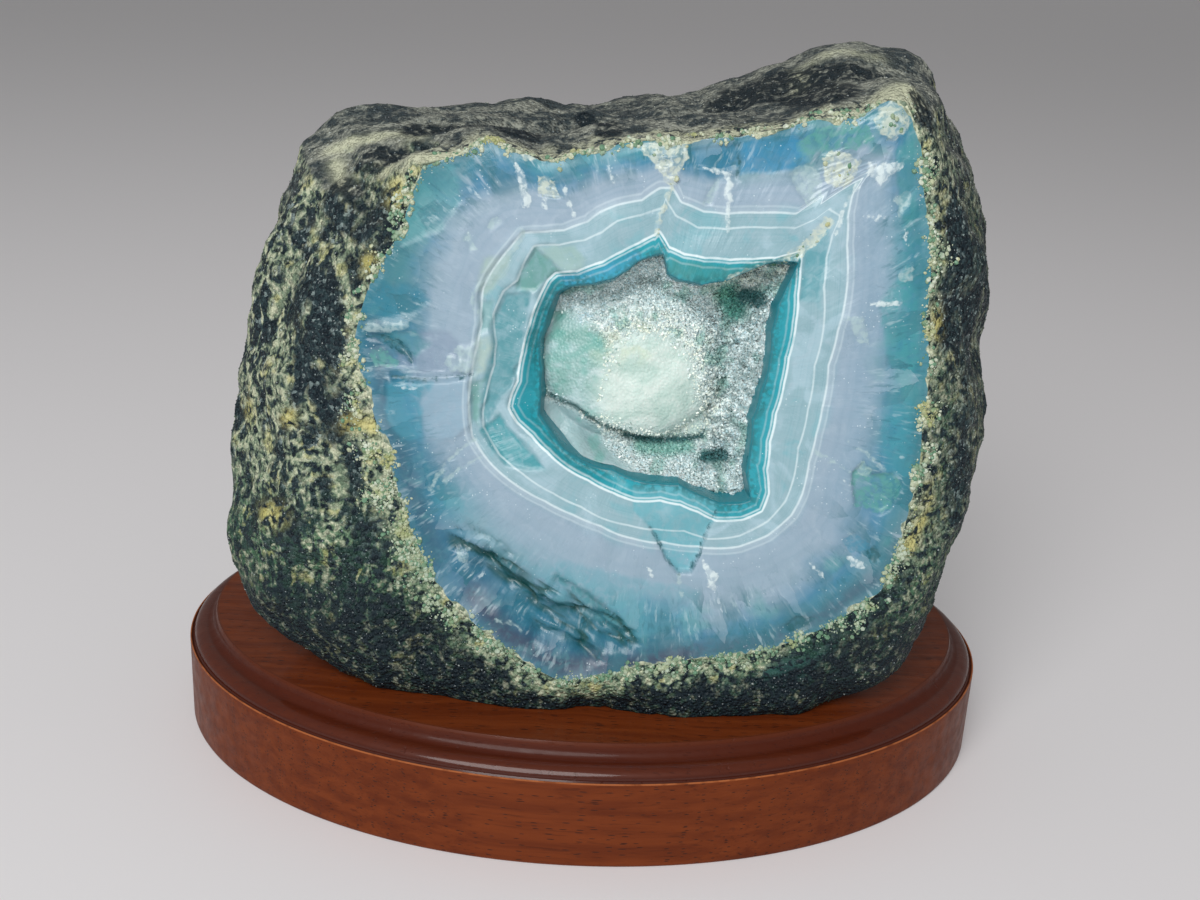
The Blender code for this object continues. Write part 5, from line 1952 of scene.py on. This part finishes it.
@dataclass
class CrustLine:
    """The granules along the line where the banded face meets the rind."""

    count: int = 6000
    chip_share: float = 0.03
    smallest: float = 0.25
    largest: float = 1.35
    seed: int = 23

    def build(self, stone: bpy.types.Object) -> bpy.types.Object:
        """Scatter the granules.

        Args:
            stone: The finished stone.

        Returns:
            The piece that holds all the granules.
        """
        chance = np.random.default_rng(self.seed)
        deselect()
        bpy.ops.mesh.primitive_ico_sphere_add(subdivisions=1, radius=0.5 * MM)
        granule = bpy.context.object
        band = stored(stone, "band")
        to_edge = stored(stone, "ends", 3)[:, 1]
        patchy = fractal(coordinates(stone), 4.5)
        face_side = smoothstep(-1.3, -0.2, to_edge + 1.3 * patchy) * (band > 3.5)
        rind_side = 1.4 * smoothstep(RIND_BAND + 0.22, RIND_BAND + 0.05, band + 0.10 * patchy)
        weights = np.where(band > RIND_BAND, rind_side, face_side)
        weights *= smoothstep(-0.25, 0.35, fractal(coordinates(stone), 3.6, 3, shift=8.0))
        on_chips = smoothstep(0.3, -0.4, stored(stone, Paint.CREAM.value) + patchy) * (band < RIND_BAND)
        weights = np.maximum(weights, self.chip_share * on_chips)
        spots = Spots.on(stone, self.count, weights, chance)
        width = self.smallest * (self.largest / self.smallest) ** (chance.random(self.count) ** 2)
        sizes = np.stack((width, width * chance.uniform(0.6, 1.0, self.count),
                          width * chance.uniform(0.6, 1.0, self.count)), axis=1)
        granules = scatter("crust_line", granule, spots, sizes, 0.8, chance)
        finished(granules, "agate", "agate", CrustGrains().material())
        return granules


# The big lump's broken lower edge and the crack that runs on from it, from the hollow's middle
BROKEN_EDGE: Line = [
    (-21.5, -2.6), (-17.9, -3.8), (-14.2, -4.6), (-11.6, -6.4), (-8.7, -8.1), (-5.0, -9.3), (-1.5, -9.9),
    (3.0, -10.3), (8.1, -9.8), (10.6, -9.4), (11.6, -7.4), (12.4, -4.0),
]
MILKY: Line = [(-7.5, 8.5), (-3, 10.8), (2.5, 10.3), (7.5, 7.5), (9.2, 1), (11, -5), (9.8, -9.0), (3, -9.9),
               (-1.7, -9.4), (-9.5, -7.0), (-10.5, 1)]
GLASSY: Line = [(-22, 13.0), (-16, 13.6), (-12.2, 12.0), (-8.5, 7.2), (-9.0, -7.0), (-11.6, -6.0),
                (-17.2, -3.6), (-22, -2)]
SMOOTH: Line = [
    (-21.5, -3.4), (-14.2, -5.4), (-9.2, -9.0), (-8.1, -12.2), (-1.0, -16.8), (-2.5, -18.5), (-8.8, -16.8),
    (-16.8, -11.7), (-21.5, -7.9),
]
UPPER_BAND: Line = [(-20.0, 14.0), (-11.0, 16.5), (-3.0, 19.5), (2.0, 22.0)]
WARM_BAND: Line = [(12.0, 20.0), (18.0, 22.5), (26.0, 25.0)]
NOTCH: Line = [(-4.3, -10.5), (-1.0, -11.0), (3.0, -11.2), (8.1, -10.7), (10.8, -10.0)]
POCKET: Line = [(17.5, 17.3), (19.6, 17.0)]
# Lines along which shade is painted on the bed, under the broken edge, in the pocket and in cracks, with half
# widths
SHADED: tuple[tuple[Line, float], ...] = (
    (NOTCH, 0.55),
    (POCKET, 1.6),
    ([(11.8, -14.0), (15.0, -13.4)], 1.3),
    ([(-19.0, -2.9), (-14.2, -4.4), (-11.6, -6.2), (-8.7, -7.9), (-4.5, -9.2)], 0.35),
)
# Lines along which the bed is green: how far out it starts and is full, and how strong it is
GREENISH: tuple[tuple[Line, float, float, float], ...] = (
    ([(13.6, 18.0), (15.5, 15.0)], 4.0, 1.0, 1.0),
    ([(-1.0, -12.2), (4.0, -12.6), (8.0, -12.0)], 2.4, 0.6, 0.8),
    ([(-10.6, 8.3), (-10.3, 8.0)], 2.6, 0.0, 0.8),
    ([(-21, 3.8), (-15, 5.2), (-11, 8.0)], 1.3, 0.1, 0.5),
)


@dataclass
class Druse:
    """The quartz in the hollow: a bed with a big milky lump, and sugary and clear crystals on it.

    The underside is given as a share of the rim's radius and a depth for each row, inward from its edge.
    """

    columns: int = 288
    rows: int = 62
    widest: float = 0.975
    underside: tuple[tuple[float, float], ...] = ((0.93, 12.0), (0.8, 14.0), (0.4, 15.0))
    bottom: float = 15.1
    level: float = 11.3
    deepest: float = 12.6
    edge_rise: float = 6.5
    edge_share: float = 0.74
    lump_centre: tuple[float, float] = (-4.0, 4.0)
    lump_half_width: float = 18.0
    lump_half_rise: float = 15.0
    lump_rise: float = 6.2
    crystals: int = 18000
    clear: int = 1500
    smallest: float = 0.16
    largest: float = 0.7
    seed: int = 5

    def lump(self, x: Array, up: Array) -> Array:
        """How much of the big lump stands at each place, from 0 to 1."""
        across = (x - self.lump_centre[0]) / self.lump_half_width
        along = (up - self.lump_centre[1]) / self.lump_half_rise
        return np.sqrt(np.maximum(1 - (across**2 + along**2) ** 1.6, 0.0))

    def heights(self, x: Array, up: Array, rim: Array) -> Array:
        """Work out the bed's height against the face.

        Args:
            x: How far right of the hollow's middle each point is.
            up: How far up from it.
            rim: The hollow's radius in the same direction.

        Returns:
            The height of every point, below nought.
        """
        edge = self.edge_rise * smoothstep(self.edge_share, 1.0, np.hypot(x, up) / rim)
        edge *= 1 - 0.65 * smoothstep(-12.0, -17.0, x)
        broken = np.interp(x, *np.array(BROKEN_EDGE).T)
        ragged = 0.5 * fractal(np.stack((x, up, np.zeros_like(x)), axis=1), 2.5)
        above = smoothstep(-0.5, 0.5, up - broken + ragged)
        left = smoothstep(-4.0, -9.0, x)
        share = above + (1 - above) * 0.62 * left
        height = np.maximum(self.lump_rise * self.lump(x, up) * share, edge) - self.level
        flat = np.stack((x, up), axis=1)
        height -= 0.8 * smoothstep(0.6, 0.0, line_gap(flat, BROKEN_EDGE[:6]))
        height -= 2.5 * smoothstep(3.0, 0.5, line_gap(flat, POCKET))
        height -= 0.9 * smoothstep(1.6, 0.2, line_gap(flat, NOTCH))
        bumps = fractal(np.stack((x, up, np.full_like(x, 3.0)), axis=1), 1.5, 3)
        swells = fractal(np.stack((x, up, np.full_like(x, 9.0)), axis=1), 5.0, 2)
        right = smoothstep(9.0, 12.0, x)
        facets = np.abs(fractal(np.stack((x, up, np.full_like(x, 21.0)), axis=1), 3.2, 3))
        height = height + (0.45 + 0.5 * right) * bumps * self.sugary(flat) + 0.05 * bumps + 0.3 * swells
        height -= 1.2 * right * smoothstep(0.25, 0.0, facets)
        return np.maximum(height, -self.deepest)

    def sugary(self, flat: Array) -> Array:
        """How much of the small crystals grows at each place, from 0 to 1."""
        rough = 1.6 * fractal(np.insert(flat, 1, 0.0, axis=1), 3.0, 3, shift=14.0)
        smooth = np.maximum(smoothstep(1.0, -2.5, patch_gap(flat, MILKY) + rough),
                            smoothstep(0.6, -0.6, patch_gap(flat, SMOOTH)))
        return 1.0 - np.maximum(smooth, smoothstep(0.8, -1.5, patch_gap(flat, GLASSY) + rough))

    def rings(self) -> Array:
        """Lay out the bed's rings, from its middle out to its edge and back below it."""
        turns = np.linspace(0.0, 2 * math.pi, self.columns, endpoint=False)
        across, along = np.cos(turns), np.sin(turns)
        rim = FORM.radii(RIM, turns)
        rings = []
        for share in np.linspace(0, self.widest, self.rows + 1)[1:]:
            x, up = rim * share * across, rim * share * along
            rings.append(FORM.on_face(MIDDLE[0] + x, MIDDLE[1] + up, -self.heights(x, up, rim)))
        for share, depth in self.underside:
            x, up = rim * share * across, rim * share * along
            rings.append(FORM.on_face(MIDDLE[0] + x, MIDDLE[1] + up, np.full_like(x, depth)))
        return np.array(rings)

    def build(self) -> list[bpy.types.Object]:
        """Model the bed and its crystals.

        Returns:
            The finished pieces.
        """
        top = -self.heights(np.zeros(1), np.zeros(1), np.ones(1) * 20)[0]
        tips = FORM.on_face(*MIDDLE, top), FORM.on_face(*MIDDLE, self.bottom)
        bed, _ = wrapped("druse_bed", self.rings(), *tips)
        flat, height = FORM.flattened(coordinates(bed))
        flat = flat - MIDDLE
        milk = smoothstep(3.0, -3.0, patch_gap(flat, MILKY))
        glass = smoothstep(1.5, -1.5, patch_gap(flat, GLASSY))
        dull = smoothstep(0.8, -0.8, patch_gap(flat, SMOOTH))
        set_attribute(bed, "quartz", np.stack((milk, glass, dull), axis=1))
        shades = self.shades(flat, milk)
        set_attribute(bed, "shades", shades)
        finished(bed, "hollow_crystals", "quartz_druse", DruseBed().material())
        front = normals(bed) @ FORM.outward() > 0.25
        weights = self.sugary(flat) * front * (height < -1.0)
        return [bed, *self.grow(bed, weights, shades)]

    def shades(self, flat: Array, milk: Array) -> Array:
        """Work out how the bed's colour changes, with painted shade where it lies in shadow.

        Args:
            flat: Every point as x and z on the face, from the hollow's middle.
            milk: How milky each point is.

        Returns:
            How much painted shade each point has, and how green and how close to the lump it is.
        """
        spatial = np.insert(flat, 1, 0.0, axis=1)
        shade, green = np.zeros(len(flat)), np.zeros(len(flat))
        for line, half_width in SHADED:
            shade = np.maximum(shade, smoothstep(half_width + 0.6, half_width - 0.4, line_gap(flat, line)))
        # Painted shade in the gaps between crystals on the right, and under the shelf along the upper band
        gaps = smoothstep(0.30, 0.02, np.abs(fractal(spatial, 3.2, 3, shift=7.0)))
        shade = np.maximum(shade, 0.5 * gaps * smoothstep(9.0, 12.0, flat[:, 0]))
        shade = np.maximum(shade, 0.3 * smoothstep(-0.3, 0.5, fractal(spatial, 1.6, 3)) *
                           smoothstep(4.0, 1.5, line_gap(flat, UPPER_BAND)))
        for line, start, full, strength in GREENISH:
            green = np.maximum(green, strength * smoothstep(start, full, line_gap(flat, line)))
        patches = smoothstep(0.05, 0.5, fractal(spatial, 4.0, 3, shift=31.0)) * (1 - milk)
        green = np.maximum(green, 0.55 * patches)
        near = smoothstep(7.0, 0.0, patch_gap(flat, MILKY)) * smoothstep(-13.0, -9.0, flat[:, 1])
        near = np.maximum(near, smoothstep(4.5, 1.0, line_gap(flat, WARM_BAND)))
        return np.stack((shade, green, near), axis=1)

    def grow(self, bed: bpy.types.Object, weights: Array, shades: Array) -> list[bpy.types.Object]:
        """Grow sugary and clear crystals on the bed.

        Args:
            bed: The finished bed.
            weights: How likely a crystal is at each of the bed's points.
            shades: How much painted shade each of the bed's points has, and how green and how close to the
                lump it is.

        Returns:
            The pieces that hold the crystals.
        """
        chance = np.random.default_rng(self.seed)
        grown = []
        for name, count, lift, finish in (("druse_sugar", self.crystals, 0.1, SugaryQuartz()),
                                          ("druse_crystals", self.clear, 0.0, ClearQuartz())):
            spots = Spots.on(bed, count, weights, chance)
            spots.points -= (0.15 - lift) * spots.outward
            width = self.smallest * (self.largest / self.smallest) ** (chance.random(count) ** 1.8)
            sizes = np.stack((width, width, width * chance.uniform(0.8, 1.4, count)), axis=1)
            piece = scatter(name, small_point(5, 0.8, 0.3), spots, sizes, 0.5, chance)
            set_attribute(piece, "shades", copied(shades, spots, piece))
            finished(piece, "hollow_crystals", "quartz_druse", finish.material())
            grown.append(piece)
        return grown


@dataclass
class DisplayBase:
    """The oval wooden base with its moulded upper edge."""

    length: float = 177.0
    width: float = 129.5
    height: float = 23.7
    side_height: float = 18.5
    foot_round: float = 0.5
    quirk_width: float = 0.9
    quirk_depth: float = 0.35
    bead_width: float = 2.7
    bead_height: float = 2.2
    cove_width: float = 2.0
    fillet_height: float = 0.8
    fillet_width: float = 0.4
    columns: int = 360
    arc_steps: int = 8
    crease: float = math.radians(32.0)
    flat_inset: float = 30.0

    def profile(self) -> list[tuple[float, float]]:
        """The edge from the top down to the underside, as inset and height."""
        bead_foot = self.quirk_width + self.bead_width
        cove_top = self.height - self.fillet_height
        cove_height = cove_top - self.side_height - self.bead_height
        arc = [math.pi / 2 * step / self.arc_steps for step in range(self.arc_steps + 1)]
        crest = bead_foot + self.cove_width + self.fillet_width
        points = [(inset, self.height) for inset in (14.0, 9.0, 7.2, 6.5, crest + 0.2)]
        points += [(crest - 0.05, self.height - 0.05), (crest - 0.25, self.height - 0.45)]
        points += [(bead_foot + self.cove_width * math.sin(turn), cove_top - cove_height * math.cos(turn))
                   for turn in reversed(arc)]
        points += [(bead_foot - self.bead_width * math.cos(turn),
                    self.side_height + self.bead_height * math.sin(turn)) for turn in reversed(arc)]
        points += [(self.quirk_width - self.quirk_depth, self.side_height - self.quirk_depth)]
        points += [(inset, self.side_height - drop)
                   for inset, drop in ((0.22, 0.02), (0.06, 0.1), (0.0, 0.3))]
        points += [(0.0, self.side_height * share) for share in (0.9, 0.75, 0.6, 0.45, 0.3, 0.15, 0.06)]
        points += [(0.0, self.foot_round), (0.15, 0.15), (self.foot_round, 0.0), (3.0, 0.0), (14.0, 0.0)]
        return points

    def oval(self, inset: float, height: float) -> Array:
        """One level ring, moved in from the outer oval by the inset, square to the oval."""
        turns = np.linspace(0.0, 2 * math.pi, self.columns, endpoint=False)
        across, along = np.cos(turns), np.sin(turns)
        half_length, half_width = self.length / 2, self.width / 2
        outward = np.stack((across / half_length, along / half_width), axis=1)
        outward /= np.linalg.norm(outward, axis=1, keepdims=True)
        edge = np.stack((half_length * across, half_width * along), axis=1) - inset * outward
        return np.column_stack((edge, np.full(len(edge), height)))

    def build(self) -> bpy.types.Object:
        """Model the base.

        Returns:
            The finished piece.
        """
        profile = self.profile()
        inner = [self.oval(*profile[0]) * (share, share, 1.0) for share in (0.15, 0.35, 0.55, 0.75, 0.9)]
        under = [self.oval(*profile[-1]) * (share, share, 1.0) for share in (0.7, 0.4)]
        rings = np.array(inner + [self.oval(*point) for point in profile] + under)
        flat = self.flat_inset
        insets = [flat] * len(inner) + [inset for inset, _ in profile] + [flat] * len(under)
        tips = np.array(((0.0, 0.0, self.height), (0.0, 0.0, 0.0)))
        base, order = wrapped("wooden_base", rings, *tips)
        inset = np.concatenate(([flat], np.repeat(insets, self.columns), [flat]))[order]
        set_attribute(base, "inset", inset)
        activate(base)
        bpy.ops.object.shade_smooth_by_angle(angle=self.crease)
        finished(base, "display_base", "base_wood", VarnishedWood().material())
        return base


# Camera, floor and light


@dataclass(frozen=True)
class Studio:
    """The camera at the photo's place, a plain floor and soft light."""

    camera_place: tuple[float, float, float] = (-3.0, -289.0, 166.0)
    yaw: float = math.radians(0.9)
    pitch: float = math.radians(19.9)
    roll: float = math.radians(3.0)
    lens: float = 42.0
    sensor: float = 36.0
    floor_size: float = 60.0
    sky: Colour = (1.0, 1.0, 1.0)
    sky_strength: float = 0.28
    key_place: tuple[float, float, float] = (-0.25, -1.0, 0.82)
    key_size: float = 0.9
    key_power: float = 14.5
    key_aim: tuple[float, float, float] = (0.0, 0.0, 0.07)

    def camera(self) -> None:
        """Set up the camera."""
        ahead = math.cos(self.pitch)
        forward = Vector((ahead * math.sin(self.yaw), ahead * math.cos(self.yaw), -math.sin(self.pitch)))
        level = Vector((math.cos(self.yaw), -math.sin(self.yaw), 0.0))
        upright = level.cross(forward)
        right = level * math.cos(self.roll) + upright * math.sin(self.roll)
        up = upright * math.cos(self.roll) - level * math.sin(self.roll)
        deselect()
        bpy.ops.object.camera_add()
        camera = bpy.context.object
        turned = Matrix((right, up, -forward)).transposed().to_4x4()
        camera.matrix_world = Matrix.Translation(Vector(self.camera_place) * MM) @ turned
        camera.data.lens = self.lens
        camera.data.sensor_width = self.sensor
        camera.data.dof.use_dof = False
        camera.data.clip_start = 0.01
        bpy.context.scene.camera = camera

    def floor(self) -> None:
        """Lay the floor."""
        deselect()
        bpy.ops.mesh.primitive_plane_add(size=self.floor_size)
        floor = bpy.context.object
        floor.name = "floor"
        floor.data.materials.append(PaleFloor().material())

    def light(self) -> None:
        """Set up the sky and the soft main light."""
        world = bpy.data.worlds.new("sky")
        world.use_nodes = True
        background = world.node_tree.nodes["Background"]
        background.inputs["Color"].default_value = (*self.sky, 1.0)
        background.inputs["Strength"].default_value = self.sky_strength
        bpy.context.scene.world = world
        deselect()
        bpy.ops.object.light_add(type="AREA", location=self.key_place)
        key = bpy.context.object
        key.data.shape = "DISK"
        key.data.size = self.key_size
        key.data.energy = self.key_power
        aim = Vector(self.key_aim) - Vector(self.key_place)
        key.rotation_euler = aim.to_track_quat("-Z", "Y").to_euler()

    def build(self) -> None:
        """Set up everything round the object."""
        self.camera()
        self.floor()
        self.light()
        bpy.context.scene.view_settings.view_transform = "Standard"


def main() -> None:
    """Build every piece, and log how many faces each has."""
    logging.basicConfig(level=logging.INFO, format="%(name)s: %(message)s")
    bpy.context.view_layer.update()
    stone = Agate().build()
    RindGrains().build(stone)
    CrustLine().build(stone)
    Druse().build()
    DisplayBase().build()
    Studio().build()


if __name__ == "__main__":
    main()
